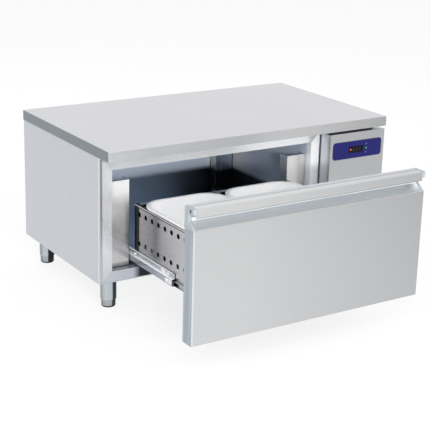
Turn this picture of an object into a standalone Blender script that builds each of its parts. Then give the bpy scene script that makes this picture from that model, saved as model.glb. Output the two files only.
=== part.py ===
"""Refrigerated chef base with one full-width pan drawer and a machine bay at its right end.

Metres, +Z up. X runs along the worktop, -Y is the side that the drawer opens to, and the origin is on
the floor under the middle of the whole outline with the drawer drawn out, as it is modelled.
"""

import math

import bmesh
import bpy
from mathutils import Matrix, Vector

# Whole unit
WIDTH = 1.200
DEPTH = 0.700
HEIGHT = 0.600
LEG_HEIGHT = 0.105
WORKTOP_HEIGHT = 0.038
OVERHANG = 0.068
SIDE_INSET = 0.001
BACK_WALL = 0.050

# Clearances and laps that every piece shares
SEAT = 0.0003
RUNNING = 0.0005
OVERRUN = 0.004
LAP = 0.0006

# Sheet metal
SKIN = 0.0012
FOLD_RADIUS = 0.0035
EDGE_RADIUS = 0.00175
WORKTOP_HEM = 0.075
PANEL_RETURN = 0.0105

# Frame round the cell's opening
STILE_LEFT_INSET = 0.012
STILE_COVER_GAP = 0.001
RAIL_WIDTH = 0.038
RAIL_DEPTH = 0.027
RAIL_BOTTOM_INSET = 0.004
RAIL_TOP_INSET = 0.009
LINER_SKIN = 0.0010

# Uprights that carry the runners
UPRIGHT_WIDTH = 0.085
UPRIGHT_DEPTH = 0.046
UPRIGHT_HEADROOM = 0.052
UPRIGHT_FRONT_GAP = 0.033
UPRIGHT_BACK_GAP = 0.006
CARRIER_HEIGHT = 0.056
CARRIER_SHEET = 0.0024

# Telescopic runners
RUNNER_BACK_GAP = 0.032
RUNNER_HEIGHT = 0.045
RUNNER_THICKNESS = 0.0127
RUNNER_RISE = 0.040
RUNNER_SHEET = 0.0012
RUNNER_FLANGE = 0.0094
OVERTRAVEL = 0.0185
BALL_DIAMETER = 0.0029
BALL_LAND = 0.0035
CAGE_SHEET = 0.0006
CAGE_LENGTH_SHARE = 0.4545
BALLS_A_ROW = 6
LEVER_REACH = 0.012
LEVER_HEIGHT = 0.018
LEVER_THICKNESS = 0.0036

# Drawer front
DRAWER_LEFT_INSET = 0.0115
DRAWER_COVER_GAP = 0.0055
DRAWER_BOTTOM_DROP = 0.004
DRAWER_TOP_GAP = 0.014
DRAWER_FRONT_DEPTH = 0.052
GASKET_HEIGHT = 0.012
GASKET_WIDTH = 0.022
GASKET_LAP = 0.003
LIP_HEIGHT = 0.032
LIP_HEM = 0.010
LIP_RADIUS = 0.004
GRIP_DEPTH = 0.0305
GRIP_MOUTH = 0.0145
GRIP_SLOPE_HEIGHT = 0.024
CAP_THICKNESS = 0.012
CAP_LIP_HEIGHT = 0.021
PANEL_PLAY = 0.0009

# Drawer box
BOX_REAR_REACH = 0.0105
BOX_HEADROOM = 0.1375
BOX_SHEET = 0.0012
BOX_FLANGE = 0.012
BOX_HEM = 0.003
REAR_LEDGE = 0.022
HOLE_DIAMETER = 0.0175
HOLE_PITCH = 0.044
HOLE_END_MARGIN = 0.0335
HOLES_A_ROW = 12
UPPER_HOLES_SHARE = 0.849
LOWER_HOLES_SHARE = 0.352
DIVIDER_WIDTH = 0.010
DIVIDER_HEIGHT = 0.020

# Food pans
PAN_SIDE_GAP = 0.00145
PAN_GAP = 0.0015
PAN_END_GAP = 0.01525
PAN_FLOOR_CLEARANCE = 0.0703
PAN_WALL = 0.0025
PAN_RIM = 0.012
PAN_RIM_HEIGHT = 0.007
PAN_RIM_RADIUS = 0.0023
PAN_CORNER = 0.085
PAN_CORNER_LOSS_SHARE = 0.6
PAN_TAPER = 0.016
PAN_FLOOR_FILLET = 0.018

# Machine bay
COVER_WIDTH = 0.2625
COVER_TOP_GAP = 0.010
COVER_BOTTOM_DROP = 0.005
COVER_RIGHT_INSET = 0.0025
COVER_RETURN = 0.0095
COVER_FRONT_INSET = 0.003
BAY_WALL_INSET = 0.0125
BAY_FLANGE = 0.036
FLANGE_LAP = 0.010
BAY_FRAME_INSET = 0.0015
BAY_FRAME_DEPTH = 0.0465
BAY_FRAME_STEP = 0.010
LOUVRES = 9
LOUVRE_WIDTH = 0.180
LOUVRE_HEIGHT = 0.006
LOUVRE_PITCH = 0.017
LOUVRE_BOTTOM = 0.045

# Controls on the machine bay cover
OVERLAY_WIDTH = 0.234
OVERLAY_HEIGHT = 0.068
OVERLAY_SKIN = 0.0008
OVERLAY_CORNER = 0.012
OVERLAY_TOP_DROP = 0.033
WINDOW_WIDTH = 0.066
WINDOW_HEIGHT = 0.024
WINDOW_LEFT_SHIFT = 0.007
WINDOW_RIM = 0.0024
KEY_SHIFT = 0.042
KEY_SPACING = 0.0165
KEY_DIAMETER = 0.011
SMALL_KEY_DIAMETER = 0.008
KEY_PROUD = 0.0011
KEY_DOME = 0.00055
KEY_TRAVEL = 0.0008
KEY_STEM = 0.0060
KEY_FLANGE = 0.0012
CONTROLLER_DEPTH = 0.046
CONTROLLER_HEIGHT = 0.056
CONTROLLER_MARGIN = 0.012

# Compressor
COMPRESSOR_DIAMETER = 0.150
COMPRESSOR_HEIGHT = 0.165
COMPRESSOR_FROM_BACK = 0.185
MOUNT_DIAMETER = 0.018
MOUNT_HEIGHT = 0.0126
MOUNT_PLATE = 0.009
MOUNT_PLATE_LENGTH = 0.180
MOUNT_PLATE_WIDTH = 0.090
MOUNT_EDGE = 0.016
SHELL_SHARES = (
    (0.00, 1.000),
    (0.45, 0.985),
    (0.78, 0.920),
    (0.95, 0.800),
    (1.00, 0.660),
    (1.05, 0.640),
    (1.05, 0.600),
    (1.00, 0.580),
    (1.00, 0.250),
    (0.85, 0.120),
    (0.55, 0.036),
    (0.00, 0.036),
)
SUCTION_SHARE = 0.45
DISCHARGE_SHARE = 0.50

# Condenser and its fan
CONDENSER_WIDTH = 0.200
CONDENSER_HEIGHT = 0.200
CONDENSER_DEPTH = 0.044
CONDENSER_FROM_FRONT = 0.020
CONDENSER_RISE = 0.018
FINS = 14
FIN_THICKNESS = 0.0012
FIN_REACH = 0.006
SHROUD_DEPTH = 0.030
CONDENSER_FAN_DIAMETER = 0.172
TIP_CLEARANCE = 0.004
MOTOR_DIAMETER = 0.060
MOTOR_LENGTH = 0.050
MOTOR_GAP = 0.0006
ARM_WIDTH = 0.012
ARM_THICKNESS = 0.0036

# Fan rotors
FAN_HUB = 0.044
FAN_DEPTH = 0.020
FAN_BLADES = 5
FAN_PITCH = math.radians(30)
BLADE_SHEET = 0.0016
BLADE_ROOT_SHARE = 0.62
BLADE_GROWTH_SHARE = 0.75
BLADE_UNTWIST_SHARE = 0.45

# Evaporator
EVAPORATOR_RIGHT_GAP = 0.010
EVAPORATOR_LEFT_GAP = 0.146
EVAPORATOR_DEPTH = 0.215
EVAPORATOR_HEIGHT = 0.096
EVAPORATOR_FROM_BACK = 0.012
EVAPORATOR_FAN_DIAMETER = 0.120
EVAPORATOR_FAN_RISE = 0.0024
COIL_END_ROOM = 0.050
COIL_DEPTH = 0.060
COIL_HEIGHT = 0.084
COIL_BACK_GAP = 0.0045
COIL_RISE = 0.0027
INTAKE_END_ROOM = 0.060
INTAKE_BOTTOM = 0.020
INTAKE_TOP = 0.015

# Refrigerant lines
PORT_DIAMETER = 0.030
PORT_DROP = 0.022
LINE_OFFSET = 0.006
SUCTION_DIAMETER = 0.0095
LINE_DIAMETER = 0.0064
LINE_BEND = 0.030
LINE_WALL_GAP = 0.0225
DRIER_DIAMETER = 0.020

# Legs and back
LEG_DIAMETER = 0.058
LEG_FROM_SIDE = 0.062
LEG_FROM_FRONT = 0.120
LEG_FROM_BACK = 0.064
FOOT_HEIGHT = 0.028
FOOT_DIAMETER = 0.052
FOOT_CHAMFER = 0.0035
FOOT_EDGE = 0.0012
SPIGOT_DIAMETER = 0.030
SPIGOT_HEIGHT = 0.045
GRILLE_SLOTS = 10
GRILLE_WIDTH = 0.160
GRILLE_SLOT = 0.007
GRILLE_PITCH = 0.018
GLAND_DIAMETER = 0.024
GLAND_STEM_DIAMETER = 0.012
GLAND_STEM_LENGTH = 0.0048
GLAND_BORE = 0.008
GLAND_RISE = 0.075

# How finely curves are divided
FOLD_STEPS = 3
EDGE_STEPS = 2
PAN_CORNER_STEPS = 6
CORNER_STEPS = 4
ROUTE_STEPS = 4
TUBE_RESOLUTION = 2
SPHERE_SEGMENTS = 8
SPHERE_RINGS = 4
HOLE_SEGMENTS = 12
SMALL_SEGMENTS = 16
SEGMENTS = 24
THROAT_SEGMENTS = 40
SHARP_ANGLE = math.radians(40)
FACING_SHARE = 0.9
MERGE = 0.000005

# Levels and planes that follow from them
LEFT = -WIDTH / 2
RIGHT = WIDTH / 2
RUNNER_LENGTH = DEPTH - OVERHANG - BACK_WALL - RUNNER_BACK_GAP
DRAWER_OPEN = RUNNER_LENGTH - OVERTRAVEL
FACE_INSET = OVERHANG - GASKET_HEIGHT - DRAWER_FRONT_DEPTH
FRONT = (DRAWER_OPEN - FACE_INSET - DEPTH) / 2
BACK = FRONT + DEPTH
WORKTOP_BOTTOM = HEIGHT - WORKTOP_HEIGHT
FRAME_FRONT = FRONT + OVERHANG
SIDE_LEFT = LEFT + SIDE_INSET
SIDE_RIGHT = RIGHT - SIDE_INSET
BODY_BACK = BACK - SIDE_INSET
COVER_RIGHT = RIGHT - COVER_RIGHT_INSET
COVER_LEFT = COVER_RIGHT - COVER_WIDTH
COVER_TOP = WORKTOP_BOTTOM - COVER_TOP_GAP
COVER_BOTTOM = LEG_HEIGHT - COVER_BOTTOM_DROP
COVER_MIDDLE = (COVER_LEFT + COVER_RIGHT) / 2
COVER_FACE = FRONT + COVER_FRONT_INSET
BAY_LEFT = COVER_LEFT + BAY_WALL_INSET
BAY_MIDDLE = (BAY_LEFT + SIDE_RIGHT) / 2
BAY_FLOOR = LEG_HEIGHT + SKIN
OPENING_LEFT = LEFT + STILE_LEFT_INSET + RAIL_WIDTH
OPENING_RIGHT = COVER_LEFT - STILE_COVER_GAP - RAIL_WIDTH
OPENING_BOTTOM = LEG_HEIGHT + RAIL_BOTTOM_INSET + RAIL_WIDTH
OPENING_TOP = WORKTOP_BOTTOM - RAIL_TOP_INSET - RAIL_WIDTH
CELL_FRONT = FRAME_FRONT + RAIL_DEPTH
CELL_BACK = BACK - BACK_WALL
CELL_MIDDLE = (OPENING_LEFT + OPENING_RIGHT) / 2
UPRIGHT_LEFT = OPENING_LEFT + UPRIGHT_WIDTH
UPRIGHT_RIGHT = OPENING_RIGHT - UPRIGHT_WIDTH
RUNNER_Z = OPENING_BOTTOM + RUNNER_RISE
BOX_LEFT = UPRIGHT_LEFT + 2 * SEAT + RUNNER_THICKNESS
BOX_RIGHT = UPRIGHT_RIGHT - 2 * SEAT - RUNNER_THICKNESS
BOX_TOP = OPENING_TOP - BOX_HEADROOM
BOX_BOTTOM = RUNNER_Z - RUNNER_HEIGHT / 2
DRAWER_REAR_PLANE = FRAME_FRONT - GASKET_HEIGHT - DRAWER_OPEN
DRAWER_FACE = DRAWER_REAR_PLANE - DRAWER_FRONT_DEPTH
DRAWER_LEFT = LEFT + DRAWER_LEFT_INSET
DRAWER_RIGHT = COVER_LEFT - DRAWER_COVER_GAP
DRAWER_BOTTOM = LEG_HEIGHT - DRAWER_BOTTOM_DROP
DRAWER_TOP = WORKTOP_BOTTOM - DRAWER_TOP_GAP
SLOPE_TOP = DRAWER_TOP - LIP_HEIGHT - GRIP_MOUTH
SLOPE_BOTTOM = SLOPE_TOP - GRIP_SLOPE_HEIGHT
BOX_FRONT = DRAWER_REAR_PLANE + SEAT
BOX_BACK = DRAWER_REAR_PLANE + RUNNER_LENGTH + BOX_REAR_REACH
PAN_WIDTH = (BOX_RIGHT - BOX_LEFT - 2 * PAN_SIDE_GAP - PAN_GAP) / 2
PAN_LENGTH = BOX_BACK - DRAWER_REAR_PLANE - 2 * PAN_END_GAP
PAN_MIDDLE_Y = (DRAWER_REAR_PLANE + BOX_BACK) / 2
FOLD_ROOM = FOLD_RADIUS + SKIN
INNER_LEFT = SIDE_LEFT + SKIN + SEAT
INNER_RIGHT = SIDE_RIGHT - SKIN - SEAT
INNER_TOP = WORKTOP_BOTTOM - SEAT
FLANGE_FRONT = FRAME_FRONT + SKIN + SEAT
BULKHEAD_FACE = BAY_LEFT + SKIN

STEEL = ("brushed_steel", (0.60, 0.61, 0.62), 0.34, 1.0)
LINER_STEEL = ("liner_steel", (0.70, 0.71, 0.72), 0.38, 1.0)
ZINC = ("zinc_steel", (0.55, 0.56, 0.58), 0.30, 1.0)
COPPER = ("copper", (0.72, 0.38, 0.24), 0.32, 1.0)
FIN_METAL = ("coil", (0.62, 0.64, 0.66), 0.45, 1.0)
BLACK_PAINT = ("black_paint", (0.02, 0.02, 0.022), 0.40, 0.0)
BLACK_PLASTIC = ("black_plastic", (0.03, 0.03, 0.035), 0.45, 0.0)
GREY_PLASTIC = ("grey_plastic", (0.45, 0.47, 0.50), 0.45, 0.0)
WHITE_PLASTIC = ("white_plastic", (0.86, 0.87, 0.88), 0.30, 0.0)
RUBBER = ("gasket_rubber", (0.20, 0.21, 0.22), 0.70, 0.0)
FOAM = ("foam", (0.85, 0.78, 0.60), 0.90, 0.0)
BLUE_FILM = ("blue_film", (0.018, 0.025, 0.17), 0.35, 0.0)
GREEN_KEY = ("green_key", (0.10, 0.55, 0.16), 0.30, 0.0)

# The axis that a shape runs along, and the two that its outline is drawn on
AXES = {"X": (0, 1, 2), "Y": (1, 0, 2), "Z": (2, 0, 1)}
QUARTERS = ((1, 1), (-1, 1), (-1, -1), (1, -1))
TURN_TO = {
    "X": Matrix.Rotation(math.pi / 2, 4, "Y"),
    "Y": Matrix.Rotation(-math.pi / 2, 4, "X"),
    "Z": Matrix.Identity(4),
}


def start_scene():
    """An empty scene with a collection for the unit and one for its cutters."""
    for obj in list(bpy.data.objects):
        bpy.data.objects.remove(obj, do_unlink=True)
    made = []
    for name in ("refrigerated_chef_base", "cutters"):
        collection = bpy.data.collections.new(name)
        bpy.context.scene.collection.children.link(collection)
        made.append(collection)
    made[1].hide_render = True
    return made


UNIT, CUTTERS = start_scene()


def finish_of(look):
    """The Principled material of one finish, made on its first use."""
    name, colour, roughness, metallic = look
    found = bpy.data.materials.get(name)
    if found:
        return found
    made = bpy.data.materials.new(name)
    made.use_nodes = True
    shader = made.node_tree.nodes["Principled BSDF"]
    shader.inputs["Base Color"].default_value = (*colour, 1.0)
    shader.inputs["Roughness"].default_value = roughness
    shader.inputs["Metallic"].default_value = metallic
    return made


def place(name, data, look):
    """An object of the unit for a mesh or a curve."""
    obj = bpy.data.objects.new(name, data)
    UNIT.objects.link(obj)
    if look:
        data.materials.append(finish_of(look))
    return obj


def mesh_from(bm, name):
    """The mesh of a bmesh, with its normals made consistent."""
    mesh = bpy.data.meshes.new(name)
    bmesh.ops.recalc_face_normals(bm, faces=bm.faces)
    bm.to_mesh(mesh)
    bm.free()
    return mesh


def box_bm(low, high):
    """A block between two corners."""
    bm = bmesh.new()
    size = [b - a for a, b in zip(low, high)]
    middle = [(a + b) / 2 for a, b in zip(low, high)]
    matrix = Matrix.Translation(middle) @ Matrix.Diagonal((*size, 1.0))
    bmesh.ops.create_cube(bm, size=1.0, matrix=matrix)
    return bm


def box(name, low, high, look=None):
    return place(name, mesh_from(box_bm(low, high), name), look)


def grown(corners, margin):
    """A box's two corners, moved outwards by a margin."""
    low, high = corners
    return [a - margin for a in low], [b + margin for b in high]


def thicken(obj, thickness, offset=-1.0):
    """Gives a surface its sheet, inwards from its outer face unless told otherwise."""
    solid = obj.modifiers.new("sheet", "SOLIDIFY")
    solid.thickness = thickness
    solid.offset = offset
    solid.use_even_offset = True
    return obj


def folded_tray(name, low, high, open_sides, look, sheet=SKIN, hem=0.0, radius=0.0):
    """A box of sheet without its faces towards open_sides, but for a hem round each of them."""
    bm = box_bm(low, high)
    gone = [f for f in bm.faces if any(f.normal.dot(Vector(side)) > FACING_SHARE for side in open_sides)]
    if hem:
        bmesh.ops.inset_region(bm, faces=gone, thickness=hem, use_even_offset=True)
    bmesh.ops.delete(bm, geom=gone, context="FACES")
    obj = place(name, mesh_from(bm, name), look)
    if radius:
        bevel = obj.modifiers.new("folds", "BEVEL")
        bevel.width = radius
        bevel.segments = EDGE_STEPS
        bevel.limit_method = "ANGLE"
        bevel.angle_limit = SHARP_ANGLE
    return thicken(obj, sheet)


def rounded(path, radius, steps=FOLD_STEPS):
    """A polyline of 2D points whose inner corners are arcs of the given radius."""
    points = [Vector(p) for p in path]
    out = [points[0]]
    for before, corner, after in zip(points, points[1:], points[2:]):
        one = (before - corner).normalized()
        two = (after - corner).normalized()
        half = one.angle(two) / 2
        room = min((before - corner).length, (after - corner).length) / 2
        cut_back = min(radius / math.tan(half), room)
        start = corner + one * cut_back
        end = corner + two * cut_back
        centre = corner + (one + two).normalized() * (cut_back / math.cos(half))
        reach = (start - centre).length
        for k in range(steps + 1):
            arc = start.lerp(end, k / steps) - centre
            out.append(centre + arc.normalized() * reach)
    return out + [points[-1]]


def along(axis, level, point):
    """The 3D point of a 2D one in the plane square to an axis."""
    whole = [0.0, 0.0, 0.0]
    main, first, second = AXES[axis]
    whole[main] = level
    whole[first] = point[0]
    whole[second] = point[1]
    return whole


def folded_sheet(name, path, axis, start, stop, sheet, look):
    """A sheet folded along a path, which is the middle of its thickness."""
    bm = bmesh.new()
    near = [bm.verts.new(along(axis, start, p)) for p in path]
    edges = [bm.edges.new(pair) for pair in zip(near, near[1:])]
    drawn = bmesh.ops.extrude_edge_only(bm, edges=edges)
    moved = [v for v in drawn["geom"] if isinstance(v, bmesh.types.BMVert)]
    bmesh.ops.translate(bm, verts=moved, vec=along(axis, stop - start, (0.0, 0.0)))
    return thicken(place(name, mesh_from(bm, name), look), sheet, 0.0)


def prism(name, outline, axis, start, stop, look, mitre=None):
    """A closed outline drawn out along an axis, its ends mitred outwards from a level across it."""
    bm = bmesh.new()
    ring = [bm.verts.new(along(axis, start, p)) for p in outline]
    drawn = bmesh.ops.extrude_face_region(bm, geom=[bm.faces.new(ring)])
    top = [v for v in drawn["geom"] if isinstance(v, bmesh.types.BMVert)]
    bmesh.ops.translate(bm, verts=top, vec=along(axis, stop - start, (0.0, 0.0)))
    if mitre:
        across, edge, outward = mitre
        for sign, verts in ((-1, ring), (1, top)):
            for vert in verts:
                vert.co[AXES[axis][0]] += sign * outward * (vert.co[across] - edge)
    return place(name, mesh_from(bm, name), look)


def cylinder_bm(centre, diameter, length, axis="Z", segments=SEGMENTS):
    """A round bar along an axis."""
    bm = bmesh.new()
    bmesh.ops.create_cone(
        bm,
        cap_ends=True,
        segments=segments,
        radius1=diameter / 2,
        radius2=diameter / 2,
        depth=length,
        matrix=Matrix.Translation(centre) @ TURN_TO[axis],
    )
    return bm


def cylinder(name, centre, diameter, length, look=None, axis="Z", segments=SEGMENTS):
    mesh = mesh_from(cylinder_bm(centre, diameter, length, axis, segments), name)
    return smooth(place(name, mesh, look))


def smooth(obj):
    """Shades round sides smooth and keeps the edges crisp."""
    obj.data.shade_smooth()
    obj.data.set_sharp_from_angle(angle=SHARP_ANGLE)
    return obj


def turned(name, profile, centre, look, axis="Z", segments=SEGMENTS):
    """A solid of revolution whose profile of (radius, level) runs down its outer side."""
    mesh = bpy.data.meshes.new(name)
    verts = [(radius, 0.0, level) for radius, level in profile]
    mesh.from_pydata(verts, [(i, i + 1) for i in range(len(verts) - 1)], [])
    obj = place(name, mesh, look)
    screw = obj.modifiers.new("turn", "SCREW")
    screw.axis = "Z"
    screw.angle = math.tau
    screw.steps = segments
    screw.render_steps = segments
    screw.use_merge_vertices = True
    screw.merge_threshold = MERGE
    obj.matrix_world = Matrix.Translation(centre) @ TURN_TO[axis]
    return obj


def as_mesh(obj):
    """The object with its modifiers and its place applied to a plain mesh."""
    bpy.context.view_layer.update()
    graph = bpy.context.evaluated_depsgraph_get()
    mesh = bpy.data.meshes.new_from_object(obj.evaluated_get(graph), depsgraph=graph)
    mesh.transform(obj.matrix_world)
    bm = bmesh.new()
    bm.from_mesh(mesh)
    bmesh.ops.remove_doubles(bm, verts=bm.verts, dist=MERGE)
    bm.to_mesh(mesh)
    bm.free()
    name = obj.name
    bpy.data.objects.remove(obj, do_unlink=True)
    return place(name, mesh, None)


def boolean(obj, tools, operation):
    """Joins or cuts with each tool in turn, which becomes a hidden helper."""
    for tool in tools:
        UNIT.objects.unlink(tool)
        CUTTERS.objects.link(tool)
        tool.hide_render = True
        tool.display_type = "WIRE"
        step = obj.modifiers.new(operation.lower(), "BOOLEAN")
        step.operation = operation
        step.object = tool
    return obj


def join(obj, *tools):
    return boolean(obj, tools, "UNION")


def cut(obj, *tools):
    return boolean(obj, tools, "DIFFERENCE")


def one_mesh(name, pieces):
    """Several bmesh shapes that stay clear of each other as one helper."""
    whole = bmesh.new()
    for bm in pieces:
        part = bpy.data.meshes.new(name)
        bm.to_mesh(part)
        bm.free()
        whole.from_mesh(part)
        bpy.data.meshes.remove(part)
    return place(name, mesh_from(whole, name), None)


def smooth_route(route):
    """A curve's points through every point of a route, with an even flow from one to the next."""
    route = [Vector(p) for p in route]
    ends = [2 * route[0] - route[1], *route, 2 * route[-1] - route[-2]]
    out = []
    for a, b, c, d in zip(ends, ends[1:], ends[2:], ends[3:]):
        leave = (c - a) / 2
        arrive = (d - b) / 2
        for k in range(ROUTE_STEPS):
            t = k / ROUTE_STEPS
            out.append(
                b * (2 * t**3 - 3 * t**2 + 1)
                + leave * (t**3 - 2 * t**2 + t)
                + c * (3 * t**2 - 2 * t**3)
                + arrive * (t**3 - t**2)
            )
    return out + [route[-1]]


def tube(name, route, diameter, look):
    """A closed round bar along a route."""
    curve = bpy.data.curves.new(name, "CURVE")
    curve.dimensions = "3D"
    curve.bevel_depth = diameter / 2
    curve.bevel_resolution = TUBE_RESOLUTION
    curve.use_fill_caps = True
    points = smooth_route(route)
    spline = curve.splines.new("POLY")
    spline.points.add(len(points) - 1)
    for point, spot in zip(spline.points, points):
        point.co = (*spot, 1.0)
    return place(name, curve, look)


def flat_plate(name, outlines, y, thickness, look):
    """A plate standing square to Y: the first outline is its edge and the others are holes."""
    curve = bpy.data.curves.new(name, "CURVE")
    curve.dimensions = "2D"
    curve.fill_mode = "BOTH"
    curve.extrude = thickness / 2
    for outline in outlines:
        spline = curve.splines.new("POLY")
        spline.points.add(len(outline) - 1)
        spline.use_cyclic_u = True
        for point, (u, v) in zip(spline.points, outline):
            point.co = (u, v, 0.0, 1.0)
    obj = place(name, curve, look)
    obj.matrix_world = Matrix.Translation((0.0, y, 0.0)) @ Matrix.Rotation(math.pi / 2, 4, "X")
    return obj


def round_rectangle(centre, size, corner, steps):
    """A closed outline with round corners."""
    out = []
    for quarter, (sign_u, sign_v) in enumerate(QUARTERS):
        for k in range(steps + 1):
            turn = math.pi / 2 * (quarter + k / steps)
            u = centre[0] + sign_u * (size[0] / 2 - corner) + corner * math.cos(turn)
            v = centre[1] + sign_v * (size[1] / 2 - corner) + corner * math.sin(turn)
            out.append((u, v))
    return out


def circle(centre, radius, segments):
    turns = [math.tau * k / segments for k in range(segments)]
    return [(centre[0] + radius * math.cos(t), centre[1] + radius * math.sin(t)) for t in turns]


def hang(name, point, axis, *objects):
    """Parents objects, where they are, to an empty on their joint's axis."""
    empty = bpy.data.objects.new(name, None)
    empty.empty_display_type = "SINGLE_ARROW"
    CUTTERS.objects.link(empty)
    empty.matrix_world = Matrix.Translation(point) @ TURN_TO[axis]
    bpy.context.view_layer.update()
    for obj in objects:
        world = obj.matrix_world.copy()
        obj.parent = empty
        obj.matrix_parent_inverse = empty.matrix_world.inverted()
        obj.matrix_world = world
    return empty


def make_worktop():
    """A folded stainless top, its edges turned down and then in under it."""
    low = (LEFT, FRONT, WORKTOP_BOTTOM)
    high = (RIGHT, BACK, HEIGHT)
    folded_tray("worktop", low, high, [(0, 0, -1)], STEEL, hem=WORKTOP_HEM, radius=EDGE_RADIUS)


def make_side_panels():
    """A panel at each end with a return folded inwards along its front and back edges."""
    front = FRAME_FRONT + SKIN / 2
    back = BODY_BACK - SKIN / 2
    for name, outer, inward in (("side_panel_left", SIDE_LEFT, 1), ("side_panel_right", SIDE_RIGHT, -1)):
        middle = outer + inward * SKIN / 2
        end = outer + inward * PANEL_RETURN
        path = rounded([(end, front), (middle, front), (middle, back), (end, back)], FOLD_RADIUS)
        folded_sheet(name, path, "Z", LEG_HEIGHT, INNER_TOP, SKIN, STEEL)


def make_back_panel():
    """A flat back between the side panels' returns, with the air grille of the machine bay."""
    low = (SIDE_LEFT + FOLD_ROOM, BODY_BACK - 2 * SKIN - SEAT, BAY_FLOOR + SEAT)
    high = (SIDE_RIGHT - FOLD_ROOM, BODY_BACK - SKIN - SEAT, INNER_TOP)
    panel = box("back_panel", low, high, STEEL)
    middle = (low[1] + high[1]) / 2
    bottom = high[2] - (GRILLE_SLOTS + 1) * GRILLE_PITCH
    holes = []
    for k in range(GRILLE_SLOTS):
        z = bottom + k * GRILLE_PITCH
        slot_low = (BAY_MIDDLE - GRILLE_WIDTH / 2, low[1] - OVERRUN, z)
        slot_high = (BAY_MIDDLE + GRILLE_WIDTH / 2, high[1] + OVERRUN, z + GRILLE_SLOT)
        holes.append(box_bm(slot_low, slot_high))
    gland = (BAY_MIDDLE, middle, LEG_HEIGHT + GLAND_RISE)
    holes.append(cylinder_bm(gland, GLAND_STEM_DIAMETER + 2 * SEAT, 2 * OVERRUN, "Y"))
    cut(panel, one_mesh("back_holes", holes))


def make_gland():
    """Power inlet gland in the back of the machine bay."""
    shelf = BODY_BACK - SKIN
    z = LEG_HEIGHT + GLAND_RISE
    rim = cylinder(
        "power_inlet_gland",
        (BAY_MIDDLE, (shelf + BODY_BACK) / 2, z),
        GLAND_DIAMETER,
        SKIN,
        BLACK_PLASTIC,
        "Y",
    )
    middle = (BAY_MIDDLE, shelf + LAP - GLAND_STEM_LENGTH / 2, z)
    stem = cylinder("gland_stem", middle, GLAND_STEM_DIAMETER, GLAND_STEM_LENGTH, BLACK_PLASTIC, "Y")
    bore = cylinder("gland_bore", middle, GLAND_BORE, GLAND_STEM_LENGTH + 2 * OVERRUN, None, "Y")
    cut(join(rim, stem), bore)


def port_place():
    """Y and Z of the hole that the refrigerant lines take from the cell into the machine bay."""
    return CELL_BACK - EVAPORATOR_FROM_BACK - COIL_DEPTH / 2, OPENING_TOP - PORT_DROP


def port_cutter(name, x, length):
    return cylinder(name, (x, *port_place()), PORT_DIAMETER, length, None, "X")


def make_casing_floor():
    """The floor sheet, the bulkhead that parts the cell from the machine bay, and the front flanges."""
    left = SIDE_LEFT + FOLD_ROOM
    right = OPENING_RIGHT + RAIL_WIDTH + SEAT
    front = FLANGE_FRONT
    shelf = FRAME_FRONT + FOLD_ROOM
    inside = LEG_HEIGHT + LAP
    floor_high = (INNER_RIGHT, BODY_BACK - FOLD_ROOM, BAY_FLOOR)
    floor = box("bottom_panel", (INNER_LEFT, shelf, LEG_HEIGHT), floor_high, STEEL)
    bulkhead_high = (BULKHEAD_FACE, BODY_BACK - 2 * (SKIN + SEAT), INNER_TOP)
    bay_high = (right + BAY_FLANGE, front + SKIN, INNER_TOP)
    top_high = (right + FLANGE_LAP, front + LAP, INNER_TOP - LAP)
    edge_high = (SIDE_RIGHT - FOLD_ROOM, shelf + SKIN, BAY_FLOOR)
    lip_high = (right + FLANGE_LAP, front + SKIN - LAP / 2, OPENING_BOTTOM - RAIL_WIDTH + FLANGE_LAP)
    join(
        floor,
        box("bulkhead", (BAY_LEFT, front, inside), bulkhead_high),
        box("bay_flange", (right, front, inside), bay_high),
        box("top_flange", (left, front, OPENING_TOP + RAIL_WIDTH - FLANGE_LAP), top_high),
        box("floor_edge", (left, front + LAP, LEG_HEIGHT), edge_high),
        box("bottom_flange", (left, front, LEG_HEIGHT + LAP / 2), lip_high),
    )
    cut(floor, port_cutter("bulkhead_port", BAY_LEFT, 2 * OVERRUN))


def make_insulation():
    """Foam between the casing and the liner, up into the worktop and across it, bored for the lines."""
    low = (INNER_LEFT, FRAME_FRONT + FOLD_ROOM, BAY_FLOOR + SEAT)
    high = (BAY_LEFT - SEAT, BODY_BACK - FOLD_ROOM, INNER_TOP)
    foam = box("insulation", low, high, FOAM)
    room = SKIN + 2 * SEAT
    core = box(
        "worktop_core",
        (LEFT + room, FRONT + room, WORKTOP_BOTTOM + room),
        (RIGHT - room, BACK - room, HEIGHT - room),
    )
    hem = WORKTOP_HEM + SEAT
    neck = box(
        "worktop_neck",
        (LEFT + hem, FRONT + hem, high[2] - OVERRUN),
        (high[0] - OVERRUN, BACK - hem, WORKTOP_BOTTOM + room + OVERRUN),
    )
    wall = LINER_SKIN + SEAT
    cavity = box(
        "foam_cavity",
        (OPENING_LEFT - wall, low[1] - OVERRUN, OPENING_BOTTOM - wall),
        (OPENING_RIGHT + wall, CELL_BACK + wall, OPENING_TOP + wall),
    )
    reach = BAY_LEFT - OPENING_RIGHT + 2 * OVERRUN
    cut(join(foam, neck, core), cavity, port_cutter("foam_port", (BAY_LEFT + OPENING_RIGHT) / 2, reach))


def make_liner():
    """The cell's inner box, open towards the drawer."""
    low = (OPENING_LEFT - LINER_SKIN, CELL_FRONT + SEAT, OPENING_BOTTOM - LINER_SKIN)
    high = (OPENING_RIGHT + LINER_SKIN, CELL_BACK + LINER_SKIN, OPENING_TOP + LINER_SKIN)
    liner = folded_tray("inner_liner", low, high, [(0, -1, 0)], LINER_STEEL, LINER_SKIN)
    cut(liner, port_cutter("liner_port", OPENING_RIGHT, 2 * OVERRUN))


def rail_section(edge, outward):
    """L section of a frame rail as (depth, across); outward is the way from the opening."""
    outer = edge + outward * RAIL_WIDTH
    wall = edge + outward * LINER_SKIN
    behind = FRAME_FRONT + SKIN
    return [
        (FRAME_FRONT, edge),
        (FRAME_FRONT, outer),
        (behind, outer),
        (behind, wall),
        (CELL_FRONT, wall),
        (CELL_FRONT, edge),
    ]


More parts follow.
